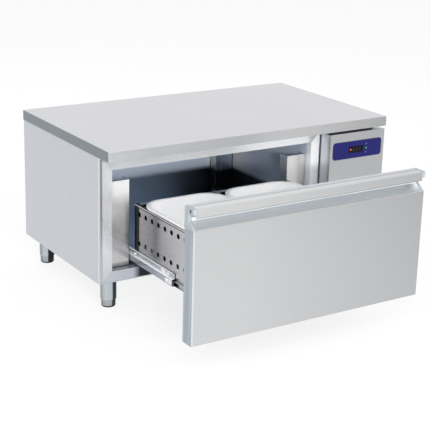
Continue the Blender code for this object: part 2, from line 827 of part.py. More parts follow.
def make_frame():
    """Four rails round the opening, mitred at the corners, each with a return into the cell."""
    play = SEAT / 2
    level = (("frame_top_rail", OPENING_TOP, 1), ("frame_bottom_rail", OPENING_BOTTOM, -1))
    for name, edge, outward in level:
        section = rail_section(edge, outward)
        prism(name, section, "X", OPENING_LEFT + play, OPENING_RIGHT - play, STEEL, (2, edge, outward))
    upright = (("frame_left_stile", OPENING_LEFT, -1), ("frame_right_stile", OPENING_RIGHT, 1))
    for name, edge, outward in upright:
        section = [(x, y) for y, x in rail_section(edge, outward)]
        prism(name, section, "Z", OPENING_BOTTOM + play, OPENING_TOP - play, STEEL, (0, edge, outward))


def runner_base(side):
    """The upright's face that a runner is fixed to."""
    return UPRIGHT_LEFT if side < 0 else UPRIGHT_RIGHT


def make_runner_support(name, side):
    """Two channel uprights, and the carrier that ties them and holds the runner."""
    wall = OPENING_LEFT + SEAT if side < 0 else OPENING_RIGHT - SEAT
    base = runner_base(side)
    bottom = OPENING_BOTTOM + SEAT
    top = OPENING_TOP - UPRIGHT_HEADROOM
    half = SKIN / 2
    front = FRAME_FRONT + UPRIGHT_FRONT_GAP
    back = CELL_BACK - UPRIGHT_BACK_GAP - UPRIGHT_DEPTH
    pieces = []
    for k, y in enumerate((front, back)):
        corners = [
            (wall - side * half, y + UPRIGHT_DEPTH),
            (wall - side * half, y + half),
            (base + side * half, y + half),
            (base + side * half, y + UPRIGHT_DEPTH),
        ]
        channel_name = name if k == 0 else f"{name}_rear"
        pieces.append(as_mesh(folded_sheet(
            channel_name,
            rounded(corners, EDGE_RADIUS),
            "Z",
            bottom,
            top,
            SKIN,
            STEEL,
        )))
    carrier_x = sorted((base + side * LAP, base + side * (LAP + CARRIER_SHEET)))
    carrier = box(
        f"{name}_carrier",
        (carrier_x[0], front + LAP + SEAT, RUNNER_Z - CARRIER_HEIGHT / 2),
        (carrier_x[1], back + UPRIGHT_DEPTH - SEAT, RUNNER_Z + CARRIER_HEIGHT / 2),
    )
    join(*pieces, carrier)


def member_levels():
    """Half heights of the three members' outer faces, from the cabinet member inwards."""
    step = RUNNER_SHEET + BALL_LAND
    outer = RUNNER_HEIGHT / 2
    return outer, outer - step, outer - 2 * step


def member_webs():
    """How far the near face of each member's web lies from the upright."""
    cage = CAGE_SHEET + 2 * RUNNING
    return 0.0, RUNNER_SHEET + cage, RUNNER_THICKNESS - RUNNER_SHEET


def runner_channel(name, side, half_height, web, flange, start):
    """One C member of a runner, whose web and flange ends are given as distances from the upright."""
    base = runner_base(side) - side * SEAT
    level = half_height - RUNNER_SHEET / 2
    path = rounded([
        (base - side * flange, RUNNER_Z + level),
        (base - side * web, RUNNER_Z + level),
        (base - side * web, RUNNER_Z - level),
        (base - side * flange, RUNNER_Z - level),
    ], RUNNER_SHEET, EDGE_STEPS)
    return folded_sheet(name, path, "Y", start, start + RUNNER_LENGTH, RUNNER_SHEET, ZINC)


def make_cage(name, side, web, half_height, centre):
    """A ball cage: a channel of thin strip with a row of balls above and below."""
    base = runner_base(side) - side * SEAT
    ball_x = base - side * (RUNNER_FLANGE - BALL_DIAMETER)
    length = RUNNER_LENGTH * CAGE_LENGTH_SHARE
    start = centre - length / 2
    path = [
        (base - side * RUNNER_FLANGE, RUNNER_Z + half_height),
        (base - side * web, RUNNER_Z + half_height),
        (base - side * web, RUNNER_Z - half_height),
        (base - side * RUNNER_FLANGE, RUNNER_Z - half_height),
    ]
    strip = as_mesh(folded_sheet(name, path, "Y", start, start + length, CAGE_SHEET, ZINC))
    pitch = length / BALLS_A_ROW
    balls = []
    for k in range(BALLS_A_ROW):
        for sign in (-1, 1):
            bm = bmesh.new()
            spot = (ball_x, start + (2 * k + 1) * pitch / 2, RUNNER_Z + sign * half_height)
            bmesh.ops.create_uvsphere(
                bm,
                u_segments=SPHERE_SEGMENTS,
                v_segments=SPHERE_RINGS,
                radius=BALL_DIAMETER / 2,
                matrix=Matrix.Translation(spot),
            )
            balls.append(bm)
    return join(strip, one_mesh(f"{name}_balls", balls))


def make_runner(side_name, side):
    """A three-member telescopic runner, drawn out as far as the drawer is; gives the drawer's member."""
    outer, middle, inner = member_levels()
    outer_web, middle_web, inner_web = member_webs()
    half = RUNNER_SHEET / 2
    runner_channel(f"runner_outer_{side_name}", side, outer, outer_web + half, RUNNER_FLANGE, FRAME_FRONT)
    middle_start = FRAME_FRONT - DRAWER_OPEN / 2
    middle_name = f"runner_middle_{side_name}"
    channel = runner_channel(middle_name, side, middle, middle_web + half, RUNNER_FLANGE, middle_start)
    member = as_mesh(channel)
    base = runner_base(side) - side * SEAT
    lever_back = middle_web - LAP
    lever_x = sorted((base - side * lever_back, base - side * (lever_back + LEVER_THICKNESS)))
    lever = box(
        f"lever_{side_name}",
        (lever_x[0], middle_start - LEVER_REACH, RUNNER_Z - LEVER_HEIGHT / 2),
        (lever_x[1], middle_start + RUNNER_SHEET, RUNNER_Z + LEVER_HEIGHT / 2),
    )
    join(member, lever)
    centre = FRAME_FRONT + RUNNER_LENGTH / 2
    to_strip = RUNNER_SHEET + RUNNING + CAGE_SHEET / 2
    to_balls = RUNNER_SHEET + BALL_LAND / 2
    outer_cage = make_cage(
        f"ball_cage_outer_{side_name}",
        side,
        outer_web + to_strip,
        outer - to_balls,
        centre - DRAWER_OPEN / 4,
    )
    inner_cage = make_cage(
        f"ball_cage_inner_{side_name}",
        side,
        middle_web + to_strip,
        middle - to_balls,
        centre - DRAWER_OPEN * 3 / 4,
    )
    for moved in (member, outer_cage, inner_cage):
        hang(f"{moved.name}_slide", (CELL_MIDDLE, FRAME_FRONT, RUNNER_Z), "Y", moved)
    flange = middle_web + to_strip + CAGE_SHEET / 2 + RUNNING
    inner_name = f"runner_inner_{side_name}"
    return runner_channel(inner_name, side, inner, inner_web + half, flange, FRAME_FRONT - DRAWER_OPEN)


def make_grip_rail():
    """Full-width rail: a slope, the back of the finger gap, the top, the lip and the hem under it."""
    half = SKIN / 2
    face = DRAWER_FACE + half
    deep = DRAWER_FACE + GRIP_DEPTH + half
    lip_bottom = DRAWER_TOP - LIP_HEIGHT + half
    path = rounded([
        (face, SLOPE_BOTTOM + SEAT),
        (deep, SLOPE_TOP),
        (deep, DRAWER_TOP - half),
        (face, DRAWER_TOP - half),
        (face, lip_bottom),
        (face + LIP_HEM, lip_bottom),
    ], LIP_RADIUS)
    inset = CAP_THICKNESS + SEAT
    return folded_sheet("grip_rail", path, "X", DRAWER_LEFT + inset, DRAWER_RIGHT - inset, SKIN, STEEL)


def make_grip_caps(bottom):
    """Moulded ends that close the grip rail, with a shallower lip than the rail's."""
    deep = DRAWER_FACE + GRIP_DEPTH
    lip_bottom = DRAWER_TOP - CAP_LIP_HEIGHT
    outline = rounded([
        (DRAWER_REAR_PLANE, bottom),
        (DRAWER_REAR_PLANE, DRAWER_TOP),
        (DRAWER_FACE, DRAWER_TOP),
        (DRAWER_FACE, lip_bottom),
        (deep, lip_bottom),
        (deep, SLOPE_TOP),
        (DRAWER_FACE, SLOPE_BOTTOM),
        (DRAWER_FACE, bottom),
    ], LIP_RADIUS / 2)
    ends = (("grip_cap_left", DRAWER_LEFT), ("grip_cap_right", DRAWER_RIGHT - CAP_THICKNESS))
    return [prism(name, outline, "X", start, start + CAP_THICKNESS, GREY_PLASTIC) for name, start in ends]


def make_inner_panel():
    """The drawer front's inner tray and its foam, as one light solid behind the skin and the grip."""
    drop = SKIN + 2 * SEAT
    room = SKIN + PANEL_PLAY
    front = DRAWER_FACE + room
    behind = DRAWER_FACE + GRIP_DEPTH + room
    top = SLOPE_BOTTOM - drop
    low = (DRAWER_LEFT + room, front, DRAWER_BOTTOM + room)
    high = (DRAWER_RIGHT - room, DRAWER_REAR_PLANE, top - OVERRUN / 2)
    panel = box("drawer_inner_panel", low, high, LINER_STEEL)
    outline = [
        (DRAWER_REAR_PLANE, top - OVERRUN),
        (DRAWER_REAR_PLANE, DRAWER_TOP),
        (behind, DRAWER_TOP),
        (behind, SLOPE_TOP - drop),
        (front, top),
        (front, top - OVERRUN),
    ]
    inset = CAP_THICKNESS + SEAT
    return join(panel, prism("panel_head", outline, "X", DRAWER_LEFT + inset, DRAWER_RIGHT - inset, None))


def make_gasket():
    """A soft magnetic ring on the drawer front's back face, round the cell's opening."""
    outer = GASKET_WIDTH - GASKET_LAP
    y0 = DRAWER_REAR_PLANE + SEAT
    y1 = DRAWER_REAR_PLANE + GASKET_HEIGHT - SEAT
    ring = box(
        "drawer_gasket",
        (OPENING_LEFT - outer, y0, OPENING_BOTTOM - outer),
        (OPENING_RIGHT + outer, y1, OPENING_TOP + outer),
        RUBBER,
    )
    hole = box(
        "gasket_inside",
        (OPENING_LEFT + GASKET_LAP, y0 - OVERRUN, OPENING_BOTTOM + GASKET_LAP),
        (OPENING_RIGHT - GASKET_LAP, y1 + OVERRUN, OPENING_TOP - GASKET_LAP),
    )
    return cut(ring, hole)


def make_drawer_front():
    """Outer skin, grip rail with its end caps, foamed inner panel and magnetic gasket."""
    top = SLOPE_BOTTOM - SKIN / 2 - 2 * SEAT
    low = (DRAWER_LEFT, DRAWER_FACE, DRAWER_BOTTOM)
    high = (DRAWER_RIGHT, DRAWER_REAR_PLANE - SKIN, top)
    open_sides = [(0, 1, 0), (0, 0, 1)]
    skin = folded_tray("drawer_front_skin", low, high, open_sides, STEEL, radius=EDGE_RADIUS)
    return skin, make_grip_rail(), *make_grip_caps(top + SEAT), make_inner_panel(), make_gasket()


def make_box_side(name, side):
    """A side plate of the drawer box, flanged at top and bottom and pierced with two rows of holes."""
    outer = BOX_LEFT if side < 0 else BOX_RIGHT
    half = BOX_SHEET / 2
    wall = outer - side * half
    top = BOX_TOP - half
    path = [
        (wall - side * BOX_FLANGE, BOX_BOTTOM + half),
        (wall, BOX_BOTTOM + half),
        (wall, top - BOX_HEM),
        (wall + side * BOX_HEM, top - BOX_HEM),
        (wall + side * BOX_HEM, top),
        (wall - side * BOX_FLANGE, top),
    ]
    plate = as_mesh(folded_sheet(name, path, "Y", BOX_FRONT, BOX_BACK, BOX_SHEET, STEEL))
    holes = []
    for share in (UPPER_HOLES_SHARE, LOWER_HOLES_SHARE):
        z = BOX_BOTTOM + share * (BOX_TOP - BOX_BOTTOM)
        for k in range(HOLES_A_ROW):
            spot = (wall, BOX_BACK - HOLE_END_MARGIN - k * HOLE_PITCH, z)
            holes.append(cylinder_bm(spot, HOLE_DIAMETER, OVERRUN, "X", HOLE_SEGMENTS))
    return cut(plate, one_mesh(f"{name}_holes", holes))


def make_cross_frame():
    """Rear plate with its ledge, front plate, and the divider bar between the pans, welded together."""
    left = BOX_LEFT + BOX_SHEET + SEAT
    right = BOX_RIGHT - BOX_SHEET - SEAT
    top = BOX_TOP - BOX_SHEET - SEAT
    bottom = BOX_BOTTOM + BOX_SHEET + SEAT
    bar = DIVIDER_WIDTH / 2
    rear = box("drawer_cross_frame", (left, BOX_BACK - BOX_SHEET, bottom), (right, BOX_BACK, top), STEEL)
    return join(
        rear,
        box("cross_front", (left, BOX_FRONT, bottom), (right, BOX_FRONT + BOX_SHEET, top)),
        box(
            "divider_bar",
            (CELL_MIDDLE - bar, BOX_FRONT + LAP, top - DIVIDER_HEIGHT),
            (CELL_MIDDLE + bar, BOX_BACK - LAP, BOX_TOP),
        ),
        box("rear_ledge", (left, BOX_BACK - REAR_LEDGE, top - BOX_SHEET), (right, BOX_BACK - LAP, top)),
    )


def make_pan(name, middle_x):
    """A food pan lofted through rounded rectangles: rolled rim, tapered wall and filleted floor."""
    rim_bottom = BOX_TOP + SEAT
    top = rim_bottom + PAN_RIM_HEIGHT
    floor = BOX_BOTTOM + PAN_FLOOR_CLEARANCE
    foot = PAN_RIM + PAN_TAPER
    fillet = PAN_FLOOR_FILLET
    levels = [
        (0.0, rim_bottom),
        (0.0, top - PAN_RIM_RADIUS),
        (PAN_RIM_RADIUS, top),
        (PAN_RIM, top),
        (PAN_RIM + PAN_WALL, top - PAN_WALL),
        (foot, floor + fillet),
        (foot + fillet / 3, floor + fillet / 4),
        (foot + fillet, floor),
    ]
    bm = bmesh.new()
    rings = []
    for inset, z in levels:
        size = (PAN_WIDTH - 2 * inset, PAN_LENGTH - 2 * inset)
        corner = PAN_CORNER - inset * PAN_CORNER_LOSS_SHARE
        outline = round_rectangle((middle_x, PAN_MIDDLE_Y), size, corner, PAN_CORNER_STEPS)
        rings.append([bm.verts.new((*point, z)) for point in outline])
    for one, two in zip(rings, rings[1:]):
        for a, b, c, d in zip(one, one[1:] + one[:1], two[1:] + two[:1], two):
            bm.faces.new((a, b, c, d))
    base = bm.faces.new(rings[-1])
    bmesh.ops.recalc_face_normals(bm, faces=bm.faces)
    outward = -1.0 if base.normal.z > 0 else 1.0
    mesh = bpy.data.meshes.new(name)
    bm.to_mesh(mesh)
    bm.free()
    mesh.shade_smooth()
    pan = thicken(place(name, mesh, WHITE_PLASTIC), PAN_WALL, outward)
    return hang(f"{name}_lift", (middle_x, PAN_MIDDLE_Y, BOX_TOP), "Z", pan)


def make_bay_frame():
    """Front frame of the machine bay, stepped in at the back to seat on the casing's flange."""
    y0 = COVER_FACE + COVER_RETURN + SEAT
    y1 = y0 + BAY_FRAME_DEPTH
    low = (COVER_LEFT + BAY_FRAME_INSET, y0, COVER_BOTTOM + BAY_FRAME_INSET)
    high = (COVER_RIGHT - BAY_FRAME_INSET, y1, COVER_TOP - BAY_FRAME_INSET)
    frame = box("bay_front_frame", low, high, STEEL)
    step = BAY_FRAME_STEP
    seat = FRAME_FRONT + SKIN
    neck = box(
        "bay_frame_neck",
        (low[0] + step, y1 - SKIN, low[2] + step),
        (high[0] - step, seat, high[2] - step),
    )
    hollow = box(
        "bay_frame_hollow",
        (low[0] + SKIN, y0 - OVERRUN, low[2] + SKIN),
        (high[0] - SKIN, y1 - SKIN, high[2] - SKIN),
    )
    wall = step + SKIN
    passage = box(
        "bay_neck_hollow",
        (low[0] + wall, y1 - OVERRUN, low[2] + wall),
        (high[0] - wall, seat + OVERRUN, high[2] - wall),
    )
    cut(join(frame, neck), hollow, passage)


def control_level():
    return COVER_TOP - OVERLAY_TOP_DROP - OVERLAY_HEIGHT / 2


def keys():
    """Name, X, Z, diameter and finish of each key."""
    x = COVER_MIDDLE + KEY_SHIFT
    z = control_level()
    return (
        ("power_key", x, z, KEY_DIAMETER, GREEN_KEY),
        ("up_key", x, z + KEY_SPACING, SMALL_KEY_DIAMETER, BLUE_FILM),
        ("down_key", x, z - KEY_SPACING, SMALL_KEY_DIAMETER, BLUE_FILM),
    )


def window():
    """Low and high corner of the controller's window in the cover."""
    x = COVER_MIDDLE - WINDOW_LEFT_SHIFT
    z = control_level()
    half_width = WINDOW_WIDTH / 2
    half_height = WINDOW_HEIGHT / 2
    return (x - half_width, COVER_FACE, z - half_height), (x + half_width, COVER_FACE, z + half_height)


def make_bay_cover():
    """Folded cover with louvre slots, the controller's window and the keys' holes."""
    low = (COVER_LEFT, COVER_FACE, COVER_BOTTOM)
    high = (COVER_RIGHT, COVER_FACE + COVER_RETURN, COVER_TOP)
    cover = folded_tray("bay_cover", low, high, [(0, 1, 0)], STEEL, radius=EDGE_RADIUS)
    holes = []
    for k in range(LOUVRES):
        z = COVER_BOTTOM + LOUVRE_BOTTOM + k * LOUVRE_PITCH
        slot_low = (COVER_MIDDLE - LOUVRE_WIDTH / 2, COVER_FACE - OVERRUN, z)
        slot_high = (COVER_MIDDLE + LOUVRE_WIDTH / 2, COVER_FACE + OVERRUN, z + LOUVRE_HEIGHT)
        holes.append(box_bm(slot_low, slot_high))
    for _, x, z, diameter, _ in keys():
        spot = (x, COVER_FACE, z)
        holes.append(cylinder_bm(spot, diameter + 2 * RUNNING, 2 * OVERRUN, "Y", SMALL_SEGMENTS))
    window_low, window_high = grown(window(), RUNNING)
    window_low[1] = COVER_FACE - OVERRUN
    window_high[1] = COVER_FACE + OVERRUN
    holes.append(box_bm(window_low, window_high))
    cut(cover, one_mesh("cover_holes", holes))


def make_overlay():
    """Printed film on the cover, cut out for the window and the keys."""
    centre = (COVER_MIDDLE, control_level())
    outline = round_rectangle(centre, (OVERLAY_WIDTH, OVERLAY_HEIGHT), OVERLAY_CORNER, CORNER_STEPS)
    low, high = grown(window(), RUNNING)
    outlines = [outline, [(low[0], low[2]), (high[0], low[2]), (high[0], high[2]), (low[0], high[2])]]
    for _, x, z, diameter, _ in keys():
        outlines.append(circle((x, z), diameter / 2 + RUNNING, SMALL_SEGMENTS))
    middle = COVER_FACE - SEAT - OVERLAY_SKIN / 2
    flat_plate("control_overlay", outlines, middle, OVERLAY_SKIN, BLUE_FILM)


def make_controller():
    """Controller behind the cover, whose face fills the window."""
    low, high = window()
    back = COVER_FACE + SKIN + SEAT
    face = COVER_FACE - SEAT - OVERLAY_SKIN
    front = back + KEY_STEM
    z = control_level()
    key_x = keys()[0][1]
    body = box(
        "temperature_controller",
        (low[0] - CONTROLLER_MARGIN, front, z - CONTROLLER_HEIGHT / 2),
        (key_x + CONTROLLER_MARGIN, back + CONTROLLER_DEPTH, z + CONTROLLER_HEIGHT / 2),
        BLACK_PLASTIC,
    )
    rim = WINDOW_RIM
    display = box("controller_face", (low[0], face, low[2]), (high[0], front + KEY_STEM, high[2]))
    collar = box(
        "controller_collar",
        (low[0] - rim, back, low[2] - rim),
        (high[0] + rim, front + KEY_STEM, high[2] + rim),
    )
    join(body, display, collar)


def make_keys():
    """Power key and the up and down keys, each held behind the cover by its flange."""
    front = COVER_FACE - SEAT - OVERLAY_SKIN - KEY_PROUD
    back = COVER_FACE + SKIN + SEAT
    shelf = back + KEY_TRAVEL / 2
    stop = back + KEY_STEM - KEY_TRAVEL - SEAT
    for name, x, z, diameter, look in keys():
        radius = diameter / 2
        profile = [
            (0.0, stop),
            (radius / 2, stop),
            (radius / 2, shelf + KEY_FLANGE),
            (radius + KEY_FLANGE, shelf + KEY_FLANGE),
            (radius + KEY_FLANGE, shelf),
            (radius, shelf),
            (radius, front + KEY_DOME),
            (radius - KEY_DOME, front),
            (0.0, front),
        ]
        key = turned(name, profile, (x, 0.0, z), look, "Y", SMALL_SEGMENTS)
        hang(f"{name}_press", (x, front, z), "Y", key)


def compressor_place():
    """Where the compressor stands on the machine bay's floor."""
    return Vector((BAY_MIDDLE, BODY_BACK - COMPRESSOR_FROM_BACK, BAY_FLOOR + SEAT))


def make_compressor():
    """A hermetic shell with its seam, on a plate with four mounts."""
    spot = compressor_place()
    radius = COMPRESSOR_DIAMETER / 2
    profile = [(share * radius, level * COMPRESSOR_HEIGHT) for share, level in SHELL_SHARES]
    shell = as_mesh(turned("compressor", profile, spot, BLACK_PAINT))
    half_length = MOUNT_PLATE_LENGTH / 2
    half_width = MOUNT_PLATE_WIDTH / 2
    plate = box(
        "mount_plate",
        (spot[0] - half_length, spot[1] - half_width, spot[2] + MOUNT_PLATE),
        (spot[0] + half_length, spot[1] + half_width, spot[2] + 2 * MOUNT_PLATE),
    )
    mounts = []
    for sign_x, sign_y in QUARTERS:
        x = spot[0] + sign_x * (half_length - MOUNT_EDGE)
        y = spot[1] + sign_y * (half_width - MOUNT_EDGE)
        middle = (x, y, spot[2] + MOUNT_HEIGHT / 2)
        mounts.append(cylinder_bm(middle, MOUNT_DIAMETER, MOUNT_HEIGHT, "Z", HOLE_SEGMENTS))
    join(shell, plate, one_mesh("compressor_mounts", mounts))


def finned_block(name, low, high):
    """A coil block along X, whose fins stand out of the core above, below, in front and behind."""
    core_low = (low[0], low[1] + FIN_REACH, low[2])
    core_high = (high[0], high[1] - FIN_REACH, high[2])
    core = box(name, core_low, core_high, FIN_METAL)
    span = high[0] - low[0]
    fins = []
    for k in range(FINS):
        x = low[0] + span * (2 * k + 1) / FINS / 2
        fin_low = (x - FIN_THICKNESS / 2, low[1], low[2] - SKIN)
        fins.append(box_bm(fin_low, (x + FIN_THICKNESS / 2, high[1], high[2] + SKIN)))
    return join(core, one_mesh(f"{name}_fins", fins))


def condenser_box():
    """Low and high corner of the condenser's coil."""
    half = CONDENSER_WIDTH / 2
    front = FRAME_FRONT + CONDENSER_FROM_FRONT
    bottom = BAY_FLOOR + CONDENSER_RISE
    low = (BAY_MIDDLE - half, front, bottom)
    return low, (BAY_MIDDLE + half, front + CONDENSER_DEPTH, bottom + CONDENSER_HEIGHT)


def make_condenser():
    """Condenser coil behind the louvres, on a foot that stands on the bay's floor."""
    low, high = condenser_box()
    inset = FIN_REACH + FIN_REACH / 2
    foot = box(
        "condenser_foot",
        (low[0] + FIN_REACH, low[1] + inset, BAY_FLOOR + SEAT),
        (high[0] - FIN_REACH, high[1] - inset, low[2] + FIN_REACH),
    )
    join(finned_block("condenser", low, high), foot)


def make_shroud():
    """A throat plate behind the condenser with the motor on its arm; gives the fan's centre."""
    low, high = condenser_box()
    front = high[1] + SEAT
    back = front + SHROUD_DEPTH
    centre = Vector((BAY_MIDDLE, (front + back) / 2, (low[2] + high[2]) / 2))
    plate = box("fan_shroud", (low[0], front, low[2]), (high[0], back, high[2]), BLACK_PAINT)
    throat = CONDENSER_FAN_DIAMETER + 2 * TIP_CLEARANCE
    bore = cylinder("throat", centre, throat, SHROUD_DEPTH + 2 * OVERRUN, None, "Y", THROAT_SEGMENTS)
    cut(plate, bore)
    motor_middle = (centre[0], centre[1] + FAN_DEPTH / 2 + MOTOR_GAP + MOTOR_LENGTH / 2, centre[2])
    motor = cylinder("condenser_motor", motor_middle, MOTOR_DIAMETER, MOTOR_LENGTH, None, "Y")
    arm = box(
        "motor_arm",
        (low[0], back - SKIN, centre[2] - ARM_WIDTH / 2),
        (high[0], back - SKIN + ARM_THICKNESS, centre[2] + ARM_WIDTH / 2),
    )
    join(plate, motor, arm)
    return centre


def make_rotor(name, centre, axis, diameter):
    """A hub with pitched blades, hung on its axis."""
    hub = cylinder(name, centre, FAN_HUB, FAN_DEPTH, BLACK_PLASTIC, axis)
    root = FAN_HUB / 2 - SKIN
    room = FAN_DEPTH / 2 - BLADE_SHEET
    blades = []
    for blade in range(FAN_BLADES):
        bm = bmesh.new()
        bmesh.ops.create_grid(bm, x_segments=3, y_segments=2, size=1)
        for vert in bm.verts:
            share = (vert.co.x + 1) / 2
            radius = root + share * (diameter / 2 - root)
            chord = vert.co.y * FAN_HUB / 2 * (BLADE_ROOT_SHARE + BLADE_GROWTH_SHARE * share)
            tilt = FAN_PITCH * (1 - BLADE_UNTWIST_SHARE * share)
            level = max(-room, min(room, chord * math.sin(tilt)))
            turn = chord * math.cos(tilt) / radius + math.tau * blade / FAN_BLADES
            vert.co = (radius * math.cos(turn), radius * math.sin(turn), level)
        bmesh.ops.recalc_face_normals(bm, faces=bm.faces)
        bmesh.ops.solidify(bm, geom=list(bm.faces), thickness=BLADE_SHEET)
        bm.transform(Matrix.Translation(centre) @ TURN_TO[axis])
        blades.append(bm)
    hang(f"{name}_axis", centre, axis, join(hub, one_mesh(f"{name}_blades", blades)))


def make_evaporator():
    """Finned coil in its tray under the cell's ceiling, with a fan; gives the X of the coil's end."""
    right = UPRIGHT_RIGHT - EVAPORATOR_RIGHT_GAP
    left = UPRIGHT_LEFT + EVAPORATOR_LEFT_GAP
    back = CELL_BACK - EVAPORATOR_FROM_BACK
    low = (left, back - EVAPORATOR_DEPTH, OPENING_TOP - SEAT - EVAPORATOR_HEIGHT)
    high = (right, back, OPENING_TOP - SEAT)
    case = folded_tray("evaporator_cover", low, high, [(0, 0, 1)], LINER_STEEL, radius=EDGE_RADIUS)
    fan_y = low[1] + SKIN + EVAPORATOR_FAN_DIAMETER / 2 + 2 * TIP_CLEARANCE
    centre = Vector(((left + right) / 2, fan_y, low[2] + FAN_DEPTH / 2 + EVAPORATOR_FAN_RISE))
    mouth = EVAPORATOR_FAN_DIAMETER + 2 * TIP_CLEARANCE
    spot = (centre[0], centre[1], low[2])
    bore = cylinder("tray_mouth", spot, mouth, 2 * OVERRUN, None, "Z", THROAT_SEGMENTS)
    intake = box(
        "tray_intake",
        (left + INTAKE_END_ROOM, back - OVERRUN, low[2] + INTAKE_BOTTOM),
        (right - INTAKE_END_ROOM, back + OVERRUN, high[2] - INTAKE_TOP),
    )
    cut(case, bore, intake, port_cutter("tray_port", right, 2 * OVERRUN))
    motor_bottom = centre[2] + FAN_DEPTH / 2 + MOTOR_GAP
    motor_top = high[2] - SKIN
    spot = (centre[0], centre[1], (motor_bottom + motor_top) / 2)
    motor = cylinder("evaporator_motor", spot, FAN_HUB, motor_top - motor_bottom)
    arm = box(
        "evaporator_arm",
        (centre[0] - ARM_WIDTH / 2, low[1] + LAP, motor_top - 2 * SKIN),
        (centre[0] + ARM_WIDTH / 2, back - LAP, motor_top),
    )
    join(case, motor, arm)
    coil_back = back - SKIN - COIL_BACK_GAP
    coil_bottom = low[2] + SKIN + COIL_RISE
    finned_block(
        "evaporator_coil",
        (left + COIL_END_ROOM, coil_back - COIL_DEPTH, coil_bottom),
        (right - COIL_END_ROOM, coil_back, coil_bottom + COIL_HEIGHT),
    )
    make_rotor("evaporator_fan", centre, "Z", EVAPORATOR_FAN_DIAMETER)
    return right - COIL_END_ROOM


def make_lines(coil_end):
    """Suction line to the compressor, discharge line to the condenser, and liquid line with its drier."""
    port_y, port_z = port_place()
    spot = compressor_place()
    radius = COMPRESSOR_DIAMETER / 2
    low, high = condenser_box()
    bend = LINE_BEND
    small = LINE_OFFSET
    start = coil_end + SEAT
    run_x = BULKHEAD_FACE + LINE_WALL_GAP
    suction_end = spot[0] - radius - SEAT
    suction_z = spot[2] + COMPRESSOR_HEIGHT * SUCTION_SHARE
    tube("suction_line", [
        (start, port_y + small, port_z),
        (start + bend, port_y + small, port_z),
        (BULKHEAD_FACE, port_y + small, port_z),
        (run_x, port_y + small, port_z - bend),
        (run_x, port_y + small, suction_z + 2 * bend),
        (run_x, spot[1] + bend, suction_z + 2 * small),
        (suction_end - 3 * small, spot[1] + small, suction_z),
        (suction_end - 2 * small, spot[1], suction_z),
        (suction_end - small, spot[1], suction_z),
        (suction_end, spot[1], suction_z),
    ], SUCTION_DIAMETER, COPPER)
    top = high[2] + SKIN + SEAT
    middle_y = (low[1] + high[1]) / 2
    half = bend / 2
    discharge_x = spot[0] + radius + SEAT
    discharge_z = spot[2] + COMPRESSOR_HEIGHT * DISCHARGE_SHARE
    entry_x = high[0] - bend
    tube("discharge_line", [
        (discharge_x, spot[1], discharge_z),
        (discharge_x + small, spot[1], discharge_z),
        (discharge_x + 2 * small, spot[1], discharge_z),
        (discharge_x + LINE_WALL_GAP, spot[1] - half, discharge_z + half),
        (discharge_x + LINE_WALL_GAP, spot[1] - 3 * bend, top + bend),
        (entry_x + half, high[1] + 2 * bend, top + bend),
        (entry_x, middle_y + half, top + bend),
        (entry_x, middle_y, top + half),
        (entry_x, middle_y, top),
    ], LINE_DIAMETER, COPPER)
    exit_x = low[0] + bend
    drier_y = spot[1] - 3 * bend
    liquid = tube("liquid_line", [
        (exit_x, middle_y, top),
        (exit_x, middle_y, top + half),
        (exit_x, middle_y + half, top + bend),
        (run_x, high[1] + 2 * bend, top + bend),
        (run_x, drier_y, top + bend),
        (run_x, drier_y + 2 * bend, top + bend),
        (run_x, spot[1] + bend, port_z - bend),
        (run_x - small, port_y - bend, port_z - small),
        (BULKHEAD_FACE, port_y - small, port_z),
        (start + bend, port_y - small, port_z),
        (start, port_y - small, port_z),
    ], LINE_DIAMETER, COPPER)
    middle = (run_x, drier_y + bend, top + bend)
    join(as_mesh(liquid), cylinder("drier", middle, DRIER_DIAMETER, bend, None, "Y", SMALL_SEGMENTS))


def make_legs():
    """Four tubular legs with levelling feet that turn in them."""
    corners = {
        "front_left": (LEFT + LEG_FROM_SIDE, FRONT + LEG_FROM_FRONT),
        "front_right": (RIGHT - LEG_FROM_SIDE, FRONT + LEG_FROM_FRONT),
        "rear_left": (LEFT + LEG_FROM_SIDE, BACK - LEG_FROM_BACK),
        "rear_right": (RIGHT - LEG_FROM_SIDE, BACK - LEG_FROM_BACK),
    }
    top = LEG_HEIGHT - SEAT
    bottom = FOOT_HEIGHT + SEAT
    spigot_top = FOOT_HEIGHT + SPIGOT_HEIGHT
    bore_top = spigot_top + 2 * SEAT
    radius = FOOT_DIAMETER / 2
    spigot = SPIGOT_DIAMETER / 2
    for name, (x, y) in corners.items():
        leg = cylinder(f"leg_{name}", (x, y, (bottom + top) / 2), LEG_DIAMETER, top - bottom, STEEL)
        bore_diameter = SPIGOT_DIAMETER + 4 * SEAT
        cut(leg, cylinder(f"bore_{name}", (x, y, bore_top / 2), bore_diameter, bore_top))
        foot = turned(f"foot_{name}", [
            (0.0, spigot_top),
            (spigot - FOOT_EDGE, spigot_top),
            (spigot, spigot_top - FOOT_EDGE),
            (spigot, FOOT_HEIGHT),
            (radius - FOOT_EDGE, FOOT_HEIGHT),
            (radius, FOOT_HEIGHT - FOOT_EDGE),
            (radius, FOOT_HEIGHT / 2),
            (radius - FOOT_CHAMFER, FOOT_CHAMFER),
            (radius - 2 * FOOT_CHAMFER, 0.0),
            (0.0, 0.0),
        ], (x, y, 0.0), GREY_PLASTIC)
        hang(f"foot_{name}_turn", (x, y, 0.0), "Z", foot)


def make_drawer():
    """The drawer with its runner members, and the pans that lift out of it."""
    pieces = [*make_drawer_front(), make_cross_frame()]
    for side_name, side in (("left", -1), ("right", 1)):
        pieces.append(make_box_side(f"drawer_side_{side_name}", side))
        pieces.append(make_runner(side_name, side))
    shift = (PAN_WIDTH + PAN_GAP) / 2
    pieces.append(make_pan("pan_left", CELL_MIDDLE - shift))
    pieces.append(make_pan("pan_right", CELL_MIDDLE + shift))
    hang("drawer_slide", (CELL_MIDDLE, DRAWER_FACE, RUNNER_Z), "Y", *pieces)


